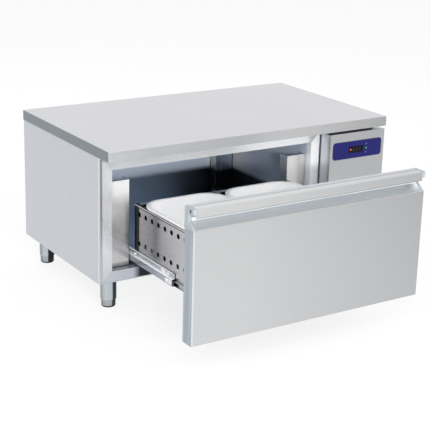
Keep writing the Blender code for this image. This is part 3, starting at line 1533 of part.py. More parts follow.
def build():
    """Makes every piece, from the floor up and from the casing inwards."""
    make_legs()
    make_casing_floor()
    make_side_panels()
    make_back_panel()
    make_gland()
    make_insulation()
    make_liner()
    make_frame()
    make_runner_support("runner_support_left", -1)
    make_runner_support("runner_support_right", 1)
    make_lines(make_evaporator())
    make_compressor()
    make_condenser()
    make_rotor("condenser_fan", make_shroud(), "Y", CONDENSER_FAN_DIAMETER)
    make_bay_frame()
    make_bay_cover()
    make_overlay()
    make_controller()
    make_keys()
    make_drawer()
    make_worktop()


build()
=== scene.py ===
import math

import bmesh
import bpy
from mathutils import Matrix, Vector


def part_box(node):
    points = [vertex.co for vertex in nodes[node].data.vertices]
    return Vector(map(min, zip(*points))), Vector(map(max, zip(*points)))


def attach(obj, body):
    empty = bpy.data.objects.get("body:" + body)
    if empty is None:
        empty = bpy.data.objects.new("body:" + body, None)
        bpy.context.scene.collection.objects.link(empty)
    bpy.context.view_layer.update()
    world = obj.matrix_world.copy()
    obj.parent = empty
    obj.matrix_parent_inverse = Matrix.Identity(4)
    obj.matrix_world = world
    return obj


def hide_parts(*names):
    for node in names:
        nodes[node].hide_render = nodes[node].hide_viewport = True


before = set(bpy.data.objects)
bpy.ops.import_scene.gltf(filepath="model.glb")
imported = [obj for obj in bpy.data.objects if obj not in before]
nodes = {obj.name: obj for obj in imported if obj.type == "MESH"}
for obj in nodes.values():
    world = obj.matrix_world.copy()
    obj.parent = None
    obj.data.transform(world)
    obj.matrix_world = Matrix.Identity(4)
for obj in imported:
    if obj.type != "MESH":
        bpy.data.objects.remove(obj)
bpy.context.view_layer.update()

scene = bpy.context.scene

# The studio: a pale floor that runs on into a white background, with soft light from above and both sides.
# The camera stands where the photograph was taken, and looks the same way through the same lens.

EYE = (-2.3655, -3.4841, 1.6256)
TO_RIGHT = (0.8430, -0.5372, 0.0270)
UPWARD = (0.1346, 0.2593, 0.9564)
LOOKING = (0.5207, 0.8026, -0.2908)
LENS_MM = 99.54
SENSOR_MM = 36.0
LENS_SHIFT = (-0.0077, -0.0491)
VIEW_END = 200.0
FLOOR_SPAN = 60.0
FLOOR_COLOUR = (0.93, 0.935, 0.94)
FLOOR_GLOW_SHARE = 0.82
FLOOR_DIM_SHARE = 0.60
FLOOR_DIM_FROM = -0.4
FLOOR_DIM_TO = 2.8
SHADE_STRENGTH = 0.80
LAMPS = (
    ("key_lamp", (-2.6, -3.2, 3.4), (-0.1, -0.2, 0.35), 2.6, 2.6, 62.0),
    ("fill_lamp", (3.0, -2.4, 2.6), (0.1, -0.2, 0.3), 2.4, 2.4, 30.0),
    ("rear_lamp", (0.4, 3.2, 3.2), (0.0, 0.2, 0.4), 2.6, 2.6, 34.0),
    ("low_lamp", (-1.55, -4.4, 1.43), (0.0, 0.3, 0.32), 1.6, 0.20, 130.0),
)


def put(node, sockets):
    """Gives a node's sockets, by name or number, each a value or another node's output."""
    for key, value in sockets.items():
        if isinstance(value, bpy.types.NodeSocket):
            node.id_data.links.new(value, node.inputs[key])
        else:
            node.inputs[key].default_value = value
    return node


def add(tree, kind, sockets=None, **settings):
    """A new node in a tree, with its settings and sockets."""
    made = tree.nodes.new(kind)
    for key, value in settings.items():
        setattr(made, key, value)
    return put(made, sockets or {})


def calc(operation, *values):
    """A sum on values, of which one or more are nodes' outputs, in the tree of the first of these."""
    tree = next(value.id_data for value in values if isinstance(value, bpy.types.NodeSocket))
    return add(tree, "ShaderNodeMath", dict(enumerate(values)), operation=operation).outputs[0]


def times(first, *others):
    """The product of values, such as masks that all have to hold."""
    for value in others:
        first = calc("MULTIPLY", first, value)
    return first


def axes(vector):
    """The three parts of a vector."""
    return add(vector.id_data, "ShaderNodeSeparateXYZ", {"Vector": vector}).outputs


def remap(value, low, high, out_low=0.0, out_high=1.0):
    """A value's place between low and high, as a share between two others."""
    sockets = {"Value": value, "From Min": low, "From Max": high, "To Min": out_low, "To Max": out_high}
    return add(value.id_data, "ShaderNodeMapRange", sockets).outputs["Result"]


def blend(share, first, second):
    """A mix of two colours, each a triple or a node's output."""
    sockets = {0: share}
    for number, colour in ((6, first), (7, second)):
        sockets[number] = colour if isinstance(colour, bpy.types.NodeSocket) else (*colour, 1.0)
    return add(share.id_data, "ShaderNodeMix", sockets, data_type="RGBA").outputs[2]


def noise(place, scale, detail=2.0, roughness=0.5):
    sockets = {"Vector": place, "Scale": scale, "Detail": detail, "Roughness": roughness}
    return add(place.id_data, "ShaderNodeTexNoise", sockets).outputs["Fac"]


def finish(name, colour, roughness, metallic=0.0):
    """A new finish: the material, its shader and the object's own coordinates."""
    material = bpy.data.materials.new(name)
    material.use_nodes = True
    tree = material.node_tree
    shader = tree.nodes["Principled BSDF"]
    put(shader, {"Base Color": (*colour, 1.0), "Roughness": roughness, "Metallic": metallic})
    place = add(tree, "ShaderNodeTexCoord").outputs["Object"]
    return material, shader, place


scene.view_settings.view_transform = "Standard"

world = bpy.data.worlds.new("studio_white")
scene.world = world
world.use_nodes = True
sky = world.node_tree
path = add(sky, "ShaderNodeLightPath").outputs
shown = calc("MAXIMUM", path["Is Camera Ray"], path["Is Glossy Ray"])
shown = calc("MAXIMUM", shown, path["Is Transmission Ray"])
strength = remap(shown, 0.0, 1.0, SHADE_STRENGTH, 1.0)
put(sky.nodes["Background"], {"Color": (1.0, 1.0, 1.0, 1.0), "Strength": strength})

camera_data = bpy.data.cameras.new("camera")
camera_data.lens = LENS_MM
camera_data.sensor_width = SENSOR_MM
camera_data.shift_x, camera_data.shift_y = LENS_SHIFT
camera_data.clip_end = VIEW_END
camera = bpy.data.objects.new("camera", camera_data)
scene.collection.objects.link(camera)
turn = Matrix((TO_RIGHT, UPWARD, [-part for part in LOOKING])).transposed().to_4x4()
camera.matrix_world = Matrix.Translation(EYE) @ turn
scene.camera = camera

for name, spot, target, width, height, power in LAMPS:
    lamp_data = bpy.data.lights.new(name, "AREA")
    lamp_data.shape = "RECTANGLE"
    lamp_data.size = width
    lamp_data.size_y = height
    lamp_data.energy = power
    lamp = bpy.data.objects.new(name, lamp_data)
    scene.collection.objects.link(lamp)
    aim = (Vector(target) - Vector(spot)).to_track_quat("-Z", "Y").to_matrix().to_4x4()
    lamp.matrix_world = Matrix.Translation(spot) @ aim
    lamp.visible_glossy = False

floor_mesh = bpy.data.meshes.new("studio_floor")
half = FLOOR_SPAN / 2
corners = [(-half, -half, 0), (half, -half, 0), (half, half, 0), (-half, half, 0)]
floor_mesh.from_pydata(corners, [], [(0, 1, 2, 3)])
floor = bpy.data.objects.new("studio_floor", floor_mesh)
scene.collection.objects.link(floor)
material, shader, place = finish("floor_paint", FLOOR_COLOUR, 0.9)
shade = remap(noise(place, 1.5, 3.0), 0.3, 0.7)
put(shader, {
    "Base Color": blend(shade, FLOOR_COLOUR, (0.94, 0.94, 0.94)),
    "Specular IOR Level": 0.0,
})
tree = shader.id_data
path = add(tree, "ShaderNodeLightPath").outputs
dimmed = remap(axes(place)["X"], FLOOR_DIM_FROM, FLOOR_DIM_TO, 1.0, FLOOR_DIM_SHARE)
mirrored = times(path["Is Glossy Ray"], dimmed)
glow = add(tree, "ShaderNodeEmission", {"Strength": calc("MAXIMUM", path["Is Camera Ray"], mirrored)})
seen = calc("MAXIMUM", path["Is Camera Ray"], path["Is Glossy Ray"])
mixed = add(tree, "ShaderNodeMixShader", {
    0: times(seen, FLOOR_GLOW_SHARE),
    1: shader.outputs[0],
    2: glow.outputs[0],
})
put(tree.nodes["Material Output"], {"Surface": mixed.outputs[0]})
floor_mesh.materials.append(material)

# Four round legs of drawn stainless tube under the casing's floor, each held by a square flange and four
# screws. The feet are turned steel on a dark pad, and level the unit on their threads.

FLANGE_SIZE = 0.084
FLANGE_SHEET = 0.0020
FLANGE_SCREW_INSET = 0.010
LEG_WALL = 0.0015
TURNED_STEPS = 64
CRISP = math.radians(32)
EASE_STEPS = 2
SCREW_DIAMETER = 0.0085
SCREW_HEAD = ((0.5, 0.0), (0.5, 0.13), (0.44, 0.22), (0.30, 0.28), (0.17, 0.28), (0.15, 0.10), (0.0, 0.10))
HEAD_STEPS = 12
PLUG_PLAY = 0.0004
PLUG_LOW = 0.004
PLUG_HIGH = 0.010
FOOT_PAD = 0.0060
EDGE_DARK_FROM = 0.12
EDGE_DARK_TO = 0.46
GRAIN_ALONG = 7.0
GRAIN_ACROSS = 900.0
BROADER_GRAIN = 0.11
CLOUDS = 3.1
GRAIN_DEPTH = 0.0002
GRAIN_RELIEF = 0.05
EDGE_WEAR_AND_HIGHLIGHT = 1.25
EDGE_WEAR_AND_HIGHLIGHT_SHARE = 0.4


def node_group(kind, name, inputs, outputs):
    """A group of nodes with named sockets: the group, its inputs and its outputs."""
    group = bpy.data.node_groups.new(name, kind)
    for way, sockets in (("INPUT", inputs), ("OUTPUT", outputs)):
        for label, sort in sockets.items():
            group.interface.new_socket(label, in_out=way, socket_type=f"NodeSocket{sort}")
    return group, add(group, "NodeGroupInput").outputs, add(group, "NodeGroupOutput").inputs


def rolled_grain_effect():
    """Fine lines of a rolled and brushed sheet, and the soft clouds that handling leaves on it."""
    inputs = {"Grained": "Vector", "Place": "Vector", "Colour": "Color"}
    inputs.update(dict.fromkeys(("Roughness", "Streak", "Cloud"), "Float"))
    outputs = {"Colour": "Color", "Roughness": "Float", "Height": "Float"}
    group, given, made = node_group("ShaderNodeTree", "rolled_grain", inputs, outputs)
    fine = calc("SUBTRACT", noise(given["Grained"], 1.0), 0.5)
    broad = calc("SUBTRACT", noise(given["Grained"], BROADER_GRAIN), 0.5)
    cloud = calc("SUBTRACT", noise(given["Place"], CLOUDS, 4.0, 0.55), 0.5)
    streak = times(calc("ADD", fine, broad), given["Streak"])
    clouded = calc("MULTIPLY_ADD", cloud, given["Cloud"], 1.0)
    shade = calc("ADD", streak, clouded)
    scaled = add(group, "ShaderNodeVectorMath", {0: given["Colour"], "Scale": shade}, operation="SCALE")
    group.links.new(scaled.outputs[0], made["Colour"])
    rough = calc("MULTIPLY_ADD", fine, 0.10, given["Roughness"])
    group.links.new(calc("MULTIPLY_ADD", cloud, 0.12, rough), made["Roughness"])
    group.links.new(fine, made["Height"])
    return group


def worn_edge_effect():
    """A mask of a piece's outer edges, and the normal of their small rounding."""
    outputs = {"Edge": "Float", "Normal": "Vector"}
    group, given, made = node_group("ShaderNodeTree", "worn_edge", {"Radius": "Float"}, outputs)
    eased = add(group, "ShaderNodeBevel", {"Radius": given["Radius"]}, samples=4).outputs["Normal"]
    plain = add(group, "ShaderNodeNewGeometry").outputs["Normal"]
    match = add(group, "ShaderNodeVectorMath", {0: eased, 1: plain}, operation="DOT_PRODUCT").outputs["Value"]
    group.links.new(remap(match, 1.0, 0.85), made["Edge"])
    group.links.new(eased, made["Normal"])
    return group


rolled_grain = rolled_grain_effect()
worn_edge = worn_edge_effect()


def steel(name, colour, roughness, along, streak=0.05, cloud=0.05, edge=0.0008):
    material, shader, place = finish(name, colour, roughness, 1.0)
    tree = shader.id_data
    scale = [GRAIN_ALONG if axis == along else GRAIN_ACROSS for axis in "XYZ"]
    grained = add(tree, "ShaderNodeMapping", {"Vector": place, "Scale": scale}).outputs["Vector"]
    grain = add(tree, "ShaderNodeGroup", {
        "Grained": grained,
        "Place": place,
        "Colour": (*colour, 1.0),
        "Roughness": roughness,
        "Streak": streak,
        "Cloud": cloud,
    }, node_tree=rolled_grain).outputs
    worn = add(tree, "ShaderNodeGroup", {"Radius": edge}, node_tree=worn_edge).outputs
    # Outer edges come out lighter, partly as wear and partly as a painted highlight.
    bright = [min(1.0, part * EDGE_WEAR_AND_HIGHLIGHT) for part in colour]
    wear_and_highlight_colour = blend(times(worn["Edge"], EDGE_WEAR_AND_HIGHLIGHT_SHARE), grain["Colour"], bright)
    put(shader, {"Base Color": wear_and_highlight_colour, "Roughness": grain["Roughness"]})
    bump(shader, grain["Height"], GRAIN_RELIEF, GRAIN_DEPTH, worn["Normal"])
    return material, shader, place


def bump(shader, height, strength, distance, normal=None):
    sockets = {"Height": height, "Strength": strength, "Distance": distance}
    if normal is not None:
        sockets["Normal"] = normal
    put(shader, {"Normal": add(shader.id_data, "ShaderNodeBump", sockets).outputs["Normal"]})


def tint(shader, mask, colour):
    """Takes a finish's colour towards another, a triple or a node's output, where a mask is set."""
    source = shader.inputs["Base Color"].links[0].from_socket
    put(shader, {"Base Color": blend(mask, source, colour)})


def dull(shader, mask, left=0.0):
    """Takes a metal's mirror away where a mask is set, down to a share that is left of it."""
    put(shader, {"Metallic": remap(mask, 0.0, 1.0, 1.0, left)})


def piece(name, shape, material, body, slot, *replaced):
    """A new piece of the object from a mesh or bmesh that is already in place."""
    mesh = shape
    if isinstance(shape, bmesh.types.BMesh):
        mesh = bpy.data.meshes.new(name)
        shape.to_mesh(mesh)
        shape.free()
    mesh.shade_smooth()
    mesh.set_sharp_from_angle(angle=CRISP)
    mesh.materials.clear()
    mesh.materials.append(material)
    obj = bpy.data.objects.new(name, mesh)
    scene.collection.objects.link(obj)
    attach(obj, body)
    if replaced:
        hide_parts(*replaced)
    return obj


TURN_TO = {"Y": Matrix.Rotation(-math.pi / 2, 4, "X"), "Z": Matrix.Identity(4)}


def shell(rings, closed=False, ends=()):
    """Faces from each ring of points to the next one, and over some rings. A ring may be a single point."""
    bm = bmesh.new()
    rings = [[bm.verts.new(point) for point in ring] for ring in rings]
    for one, two in zip(rings, rings[1:] + rings[:1] if closed else rings[1:]):
        for k in range(max(len(one), len(two))):
            corners = (one[k % len(one)], one[(k + 1) % len(one)], two[(k + 1) % len(two)], two[k % len(two)])
            bm.faces.new(list(dict.fromkeys(corners)))
    for end in ends:
        bm.faces.new(rings[end])
    bmesh.ops.recalc_face_normals(bm, faces=bm.faces)
    return bm


def lathe(profile, spot=(0.0, 0.0, 0.0), axis="Z", steps=TURNED_STEPS, closed=False):
    """A shape turned round an axis from points of (radius, height)."""
    rings = []
    for radius, height in profile:
        turns = [math.tau * k / steps for k in range(steps if radius else 1)]
        rings.append([(radius * math.cos(t), radius * math.sin(t), height) for t in turns])
    bm = shell(rings, closed)
    bm.transform(Matrix.Translation(spot) @ TURN_TO[axis])
    return bm


def block(low, high, bevel=0.0):
    """A box between two corners with eased edges."""
    bm = bmesh.new()
    size = [b - a for a, b in zip(low, high)]
    middle = [(a + b) / 2 for a, b in zip(low, high)]
    bmesh.ops.create_cube(bm, size=1.0, matrix=Matrix.Translation(middle) @ Matrix.Diagonal((*size, 1.0)))
    if bevel:
        bmesh.ops.bevel(bm, geom=bm.edges, offset=bevel, segments=EASE_STEPS, affect="EDGES", profile=0.5)
    return bm


def together(*shapes):
    """Several bmeshes as one."""
    whole = bmesh.new()
    for bm in shapes:
        mesh = bpy.data.meshes.new("part")
        bm.to_mesh(mesh)
        bm.free()
        whole.from_mesh(mesh)
        bpy.data.meshes.remove(mesh)
    return whole


def geometry_tree(name, **inputs):
    """A geometry node tree with named inputs: the tree, its inputs and its outputs."""
    inputs = {"Geometry": "Geometry", **inputs, "Material": "Material"}
    return node_group("GeometryNodeTree", name, inputs, {"Geometry": "Geometry"})


def end_tree(tree, given, made, instances):
    """Realizes what a geometry tree has placed and gives it its finish."""
    real = add(tree, "GeometryNodeRealizeInstances", {"Geometry": instances}).outputs[0]
    clad = add(tree, "GeometryNodeSetMaterial", {"Geometry": real, "Material": given["Material"]}).outputs[0]
    tree.links.new(clad, made["Geometry"])


def grow(name, tree, values, base=None):
    """The plain mesh that a geometry tree makes with these values, round a base mesh where it takes one."""
    maker = bpy.data.objects.new(name, base or bpy.data.meshes.new(name))
    scene.collection.objects.link(maker)
    modifier = maker.modifiers.new("maker", "NODES")
    modifier.node_group = tree
    for socket in tree.interface.items_tree:
        if socket.in_out == "INPUT" and socket.name in values:
            modifier[socket.identifier] = values[socket.name]
    bpy.context.view_layer.update()
    graph = bpy.context.evaluated_depsgraph_get()
    mesh = bpy.data.meshes.new_from_object(maker.evaluated_get(graph), depsgraph=graph)
    maker.modifiers.remove(modifier)
    bpy.data.objects.remove(maker, do_unlink=True)
    return mesh


def fastener_tree():
    """Heads of one kind, set on the base mesh's points and turned at random about their own axes."""
    inputs = {"Head": "Object", "Diameter": "Float", "Facing": "Vector", "Seed": "Int"}
    tree, given, made = geometry_tree("fastener_row", **inputs)
    head = add(tree, "GeometryNodeObjectInfo", {"Object": given["Head"]}).outputs["Geometry"]
    points = add(tree, "GeometryNodeMeshToPoints", {"Mesh": given["Geometry"]}).outputs[0]
    limits = {2: 0.0, 3: math.tau, "Seed": given["Seed"]}
    spin = add(tree, "FunctionNodeRandomValue", limits, data_type="FLOAT").outputs[1]
    face = add(tree, "FunctionNodeAlignEulerToVector", {
        "Rotation": add(tree, "ShaderNodeCombineXYZ", {"Z": spin}).outputs[0],
        "Vector": given["Facing"],
    }, axis="Z").outputs[0]
    placed = add(tree, "GeometryNodeInstanceOnPoints", {
        "Points": points,
        "Instance": head,
        "Rotation": face,
        "Scale": given["Diameter"],
    }).outputs[0]
    end_tree(tree, given, made, placed)
    return tree


fastener_row = fastener_tree()


def fasteners(name, spots, facing, diameter, material, body, slot, profile=SCREW_HEAD, seed=1):
    """Screw or rivet heads on their spots, as one piece."""
    points = bpy.data.meshes.new(name)
    points.from_pydata([tuple(spot) for spot in spots], [], [])
    head_mesh = bpy.data.meshes.new("head")
    bm = lathe(profile, steps=HEAD_STEPS)
    bm.to_mesh(head_mesh)
    bm.free()
    head = bpy.data.objects.new("head", head_mesh)
    scene.collection.objects.link(head)
    values = {"Head": head, "Diameter": diameter, "Facing": facing, "Seed": seed, "Material": material}
    mesh = grow(name, fastener_row, values, points)
    bpy.data.objects.remove(head, do_unlink=True)
    return piece(name, mesh, material, body, slot)


def facing_axes(place):
    """The three parts of the surface's normal, in the tree that a place is in."""
    return axes(add(place.id_data, "ShaderNodeTexCoord").outputs["Normal"])


def painted_dark_reflection(place):
    """A painted dark reflection on a leg, standing for the dark under the unit: its edges and its front
    right, wider on the rear legs.
    """
    turned_away = add(place.id_data, "ShaderNodeLayerWeight", {"Blend": 0.5}).outputs["Facing"]
    facing = facing_axes(place)
    rim = remap(turned_away, EDGE_DARK_FROM, EDGE_DARK_TO)
    rim = times(rim, remap(facing["X"], -0.5, 0.4, 0.45, 1.0))
    depth = axes(place)["Y"]
    right = calc("ADD", facing["X"], remap(depth, 0.2, 0.3, 0.0, 0.38))
    right = times(remap(right, 0.02, 0.12), remap(facing["Y"], -0.20, -0.40))
    return calc("MAXIMUM", rim, right)


leg_steel, shader, place = steel("leg_tube_steel", (0.52, 0.57, 0.60), 0.24, "Z", streak=0.12)
rim = painted_dark_reflection(place)
# Painted reflection: the tube is near black, without its mirror, at its edges and its front right.
tint(shader, rim, (0.02, 0.026, 0.032))
dull(shader, rim)
put(shader, {"Specular IOR Level": 0.1})
zinc = steel("zinc_plate", (0.60, 0.62, 0.64), 0.30, "X", streak=0.04, cloud=0.10)[0]
foot_metal, shader, place = steel("foot_steel", (0.42, 0.45, 0.49), 0.28, "Z", streak=0.10)
rim = painted_dark_reflection(place)
pad = remap(axes(place)["Z"], FOOT_PAD + 0.0004, FOOT_PAD)
# The dark pad at the foot's base is its own colour; the rest of this dark is the painted reflection.
dark = calc("MAXIMUM", rim, pad)
tint(shader, dark, (0.02, 0.024, 0.028))
dull(shader, dark)
put(shader, {"Specular IOR Level": 0.1})
for corner in ("front_left", "front_right", "rear_left", "rear_right"):
    low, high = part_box(f"leg_{corner}")
    x, y = (low.x + high.x) / 2, (low.y + high.y) / 2
    radius = (high.x - low.x) / 2
    inner = radius - LEG_WALL
    tube = [
        (inner, low.z), (radius - 0.0008, low.z), (radius, low.z + 0.0008),
        (radius, high.z), (inner, high.z),
    ]
    fit = inner + PLUG_PLAY
    plug_low, plug_high = low.z + PLUG_LOW, low.z + PLUG_HIGH
    plug = [(0.0, plug_low), (fit, plug_low), (fit, plug_high), (0.0, plug_high)]
    shape = together(lathe(tube, (x, y, 0.0), closed=True), lathe(plug, (x, y, 0.0)))
    piece(f"leg_tube_{corner}", shape, leg_steel, "cabinet", "leg_metal", f"leg_{corner}")
    foot_low, foot_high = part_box(f"foot_{corner}")
    reach = (foot_high.x - foot_low.x) / 2
    stem = foot_high.z
    collar = low.z - 0.0004
    profile = [
        (0.0, stem), (0.012, stem), (0.0135, stem - 0.002), (0.0135, collar + 0.0002),
        (reach * 0.97, collar), (reach, collar - 0.0015), (reach, 0.012), (reach * 0.97, 0.0105),
        (reach * 0.97, 0.009), (reach, 0.0075), (reach * 0.985, 0.003), (reach * 0.90, 0.0), (0.0, 0.0),
    ]
    foot = f"foot_{corner}"
    piece(f"levelling_{foot}", lathe(profile, (x, y, 0.0)), foot_metal, foot, "grey_plastic", foot)
    edge = FLANGE_SIZE / 2
    top = high.z
    plate = block((x - edge, y - edge, top - FLANGE_SHEET), (x + edge, y + edge, top), 0.0005)
    piece(f"leg_flange_{corner}", plate, zinc, "cabinet", "zinc_steel")
    inset = edge - FLANGE_SCREW_INSET
    spots = [(x + sx * inset, y + sy * inset, top - FLANGE_SHEET) for sx in (-1, 1) for sy in (-1, 1)]
    fasteners(f"leg_screws_{corner}", spots, (0.0, 0.0, -1.0), SCREW_DIAMETER, zinc, "cabinet", "zinc_steel")

# The casing: a floor with its bulkhead, two end panels with folded returns, and a back with the bay's air
# slots. All are stainless sheet, brushed and riveted. Foam fills the space between them and the liner.

RIVET_DIAMETER = 0.0066
RIVET_HEAD = ((0.5, 0.0), (0.47, 0.10), (0.32, 0.21), (0.12, 0.26), (0.0, 0.26))
RIVETS_A_SIDE = 6
RIVET_INSET = 0.008
RIVET_END = 0.02
SIDE_HIGHLIGHT_BAND = (0.0042, 0.0125, 0.0006)
SIDE_SHADOW_LINE = (0.0124, 0.0140, 0.0006)


def strip(value, low, high, soft):
    """A mask that is set between two values, with soft ends inside them."""
    return times(remap(value, low, low + soft), remap(value, high, high - soft))


def dress(material, *names):
    """Gives CAD nodes a finish."""
    for name in names:
        nodes[name].data.materials.clear()
        nodes[name].data.materials.append(material)


side_steel, shader, place = steel("end_panel_steel", (0.575, 0.590, 0.625), 0.33, "Z", cloud=0.07)
inward = calc("SUBTRACT", axes(place)["Y"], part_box("side_panel_left")[0].y)
# A painted highlight on a band near each end panel's front edge, and a painted shadow line just behind it.
tint(shader, times(strip(inward, *SIDE_HIGHLIGHT_BAND), 0.8), (0.80, 0.81, 0.83))
tint(shader, times(strip(inward, *SIDE_SHADOW_LINE), 0.7), (0.22, 0.23, 0.25))
dress(side_steel, "side_panel_left", "side_panel_right")
dress(steel("casing_steel", (0.57, 0.585, 0.61), 0.35, "X")[0], "back_panel", "bottom_panel")
foam_stuff, shader, place = finish("poured_foam", (0.80, 0.70, 0.45), 0.9)
cells = add(shader.id_data, "ShaderNodeTexVoronoi", {"Vector": place, "Scale": 420.0}).outputs["Distance"]
put(shader, {"Base Color": blend(cells, (0.72, 0.60, 0.34), (0.86, 0.78, 0.55))})
bump(shader, cells, 0.5, 0.001)
dress(foam_stuff, "insulation")

low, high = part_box("back_panel")
pitch = (high.z - low.z - 2 * RIVET_END) / (RIVETS_A_SIDE - 1)
rise = [low.z + RIVET_END + k * pitch for k in range(RIVETS_A_SIDE)]
spots = [(x, high.y, z) for x in (low.x + RIVET_INSET, high.x - RIVET_INSET) for z in rise]
rivet = (RIVET_DIAMETER, zinc, "cabinet", "zinc_steel", RIVET_HEAD)
fasteners("back_rivets", spots, (0.0, 1.0, 0.0), *rivet, seed=2)

# The cell: a folded stainless liner with painted light on its upper walls and in its rear right corner and
# painted shade low on its right and at the front of its floor, with the evaporator's tray under its ceiling.
# The coil is thin aluminium fins on copper tubes, and the fan is moulded black.

FIN_SHEET = 0.00035
TUBE_RADIUS = 0.0048
TUBE_ROWS = 2
TUBE_LAYERS = 3
TUBE_STEPS = 12
EVAPORATOR_FINS = 96
COIL_END = 0.012
TUBE_PLAY = 0.0008
BEND_STEPS = 12
BEND_REACH = 0.9
DRIFT_COARSER = 60.0
SKIN_DEPTH = 0.0002
SKIN_RELIEF = 0.10
SKIN_EDGE = 0.0006
FLOOR_SHADE = 0.150
PAINTED_LIGHT_FROM = 0.276
PAINTED_LIGHT_TO = 0.294


def moulded(name, colour, roughness, speckle, size, metallic=0.0):
    material, shader, place = finish(name, colour, roughness, metallic)
    skin = noise(place, size, 3.0, 0.6)
    drift = noise(place, size / DRIFT_COARSER, 2.0)
    darker = [part * (1.0 - speckle) for part in colour]
    mixed = blend(remap(skin, 0.35, 0.7), colour, darker)
    put(shader, {
        "Base Color": blend(remap(drift, 0.4, 0.8, 0.0, 0.5), mixed, darker),
        "Roughness": remap(skin, 0.3, 0.7, roughness - 0.05, roughness + 0.07),
    })
    worn = add(shader.id_data, "ShaderNodeGroup", {"Radius": SKIN_EDGE}, node_tree=worn_edge).outputs
    bump(shader, skin, SKIN_RELIEF, SKIN_DEPTH, worn["Normal"])
    return material, shader, place


liner_steel, shader, place = steel("liner_steel", (0.55, 0.66, 0.80), 0.40, "X", 0.10, 0.20)
at = axes(place)
# Painted light and shade on the liner: lighter above a level, darker low on the right, near black at the
# front of
# its floor, and white in the rear right corner.
painted_light = remap(at["Z"], PAINTED_LIGHT_FROM, PAINTED_LIGHT_TO)
painted_light_colour = blend(remap(at["X"], -0.50, 0.10), (0.76, 0.85, 0.98), (0.62, 0.70, 0.83))
tint(shader, painted_light, painted_light_colour)
dull(shader, painted_light, 0.1)
painted_unlit = remap(at["Z"], PAINTED_LIGHT_TO, PAINTED_LIGHT_FROM)
painted_shade_right_low = times(remap(at["X"], 0.0, 0.20, 0.0, 0.8), painted_unlit)
tint(shader, painted_shade_right_low, (0.02, 0.025, 0.03))
painted_floor_shade = remap(at["Z"], FLOOR_SHADE + 0.004, FLOOR_SHADE)
tint(shader, times(painted_floor_shade, remap(at["Y"], 0.16, 0.10), 0.95), (0.010, 0.012, 0.015))
painted_corner_light = times(remap(at["X"], 0.19, 0.22), remap(at["Y"], 0.36, 0.52))
tint(shader, times(painted_light, painted_corner_light), (1.0, 1.0, 1.0))
copper = moulded("drawn_copper", (0.72, 0.36, 0.22), 0.28, 0.25, 300.0, 1.0)[0]
fin_metal = steel("fin_aluminium", (0.66, 0.68, 0.70), 0.40, "Z", streak=0.08)[0]
black_moulding = moulded("black_moulding", (0.022, 0.022, 0.025), 0.42, 0.3, 700.0)[0]
dress(liner_steel, "inner_liner")
dress(steel("evaporator_tray_steel", (0.50, 0.53, 0.57), 0.34, "X")[0], "evaporator_cover")
dress(black_moulding, "evaporator_fan", "condenser_fan", "power_inlet_gland")
dress(copper, "suction_line", "discharge_line", "liquid_line")


def row(tree, given, shape, start="Start"):
    """Copies of a shape in a row, as many as a tree's count, from a start on and a step apart."""
    line = add(tree, "GeometryNodeMeshLine", {
        "Count": given["Count"],
        "Start Location": given[start],
        "Offset": given["Step"],
    }, mode="OFFSET").outputs[0]
    return add(tree, "GeometryNodeInstanceOnPoints", {"Points": line, "Instance": shape}).outputs[0]


def row_tree(name, kind, socket, measure, **settings):
    """A row of plates or balls, whose measure goes into one socket of the shape's node."""
    tree, given, made = geometry_tree(name, Count="Int", Start="Vector", Step="Vector", Size=measure)
    shape = add(tree, kind, {socket: given["Size"], **settings}).outputs["Mesh"]
    end_tree(tree, given, made, row(tree, given, shape))
    return tree


fin_row = row_tree("fin_row", "GeometryNodeMeshCube", "Size", "Vector")


def sweep(path, radius):
    """A closed round bar through a list of points."""
    points = [Vector(p) for p in path]
    rings = []
    side = None
    for k, point in enumerate(points):
        ahead = (points[min(k + 1, len(points) - 1)] - points[max(k - 1, 0)]).normalized()
        side = (ahead.orthogonal() if side is None else side - ahead * side.dot(ahead)).normalized()
        other = ahead.cross(side)
        turns = [math.tau * j / TUBE_STEPS for j in range(TUBE_STEPS)]
        rings.append([point + (side * math.cos(t) + other * math.sin(t)) * radius for t in turns])
    return shell(rings, ends=(0, -1))


def coil(name, node, fins, foot=0.0):
    """A tube and fin coil along X in a CAD node's place, with the tubes' return bends at both ends."""
    low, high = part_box(node)
    base = low.z + foot
    step = (high.x - low.x - 2 * COIL_END) / (fins - 1)
    size = (FIN_SHEET, high.y - low.y, high.z - base)
    middle = ((low.y + high.y) / 2, (base + high.z) / 2)
    values = {
        "Count": fins,
        "Start": (low.x + COIL_END, *middle),
        "Step": (step, 0.0, 0.0),
        "Size": size,
        "Material": fin_metal,
    }
    piece(f"{name}_fins", grow(f"{name}_fins", fin_row, values), fin_metal, "cabinet", "coil", node)
    shapes = []
    rows = [low.y + (high.y - low.y) * (k + 0.5) / TUBE_ROWS for k in range(TUBE_ROWS)]
    layers = [base + (high.z - base) * (k + 0.5) / TUBE_LAYERS for k in range(TUBE_LAYERS)]
    out = COIL_END - TUBE_RADIUS - TUBE_PLAY
    begin, end = low.x + TUBE_RADIUS + TUBE_PLAY, high.x - TUBE_RADIUS - TUBE_PLAY
    centre, span = (rows[0] + rows[-1]) / 2, (rows[-1] - rows[0]) / 2
    turns = [math.pi * k / BEND_STEPS for k in range(BEND_STEPS + 1)]
    for z in layers:
        for y in rows:
            shapes.append(sweep([(begin, y, z), (end, y, z)], TUBE_RADIUS))
        for x, way in ((begin, -BEND_REACH * out), (end, BEND_REACH * out)):
            bend = [(x + way * math.sin(t), centre - span * math.cos(t), z) for t in turns]
            shapes.append(sweep(bend, TUBE_RADIUS))
    piece(f"{name}_tubes", together(*shapes), copper, "cabinet", "copper")


coil("evaporator", "evaporator_coil", EVAPORATOR_FINS)

# The front frame of the cell: four folded rails, mitred at the corners, of bright brushed stainless.
# Uprights of the same sheet stand on the liner's floor and carry the runners.

FRAME_MIRROR = 0.80
UPRIGHT_MIRROR = 0.85
SEAM_SHADOW = 0.006
PAINTED_SHADE_TOP = 0.160
BOX_SHADE_START = -0.012
REAR_FROM = 0.30
REAR_TO = 0.34

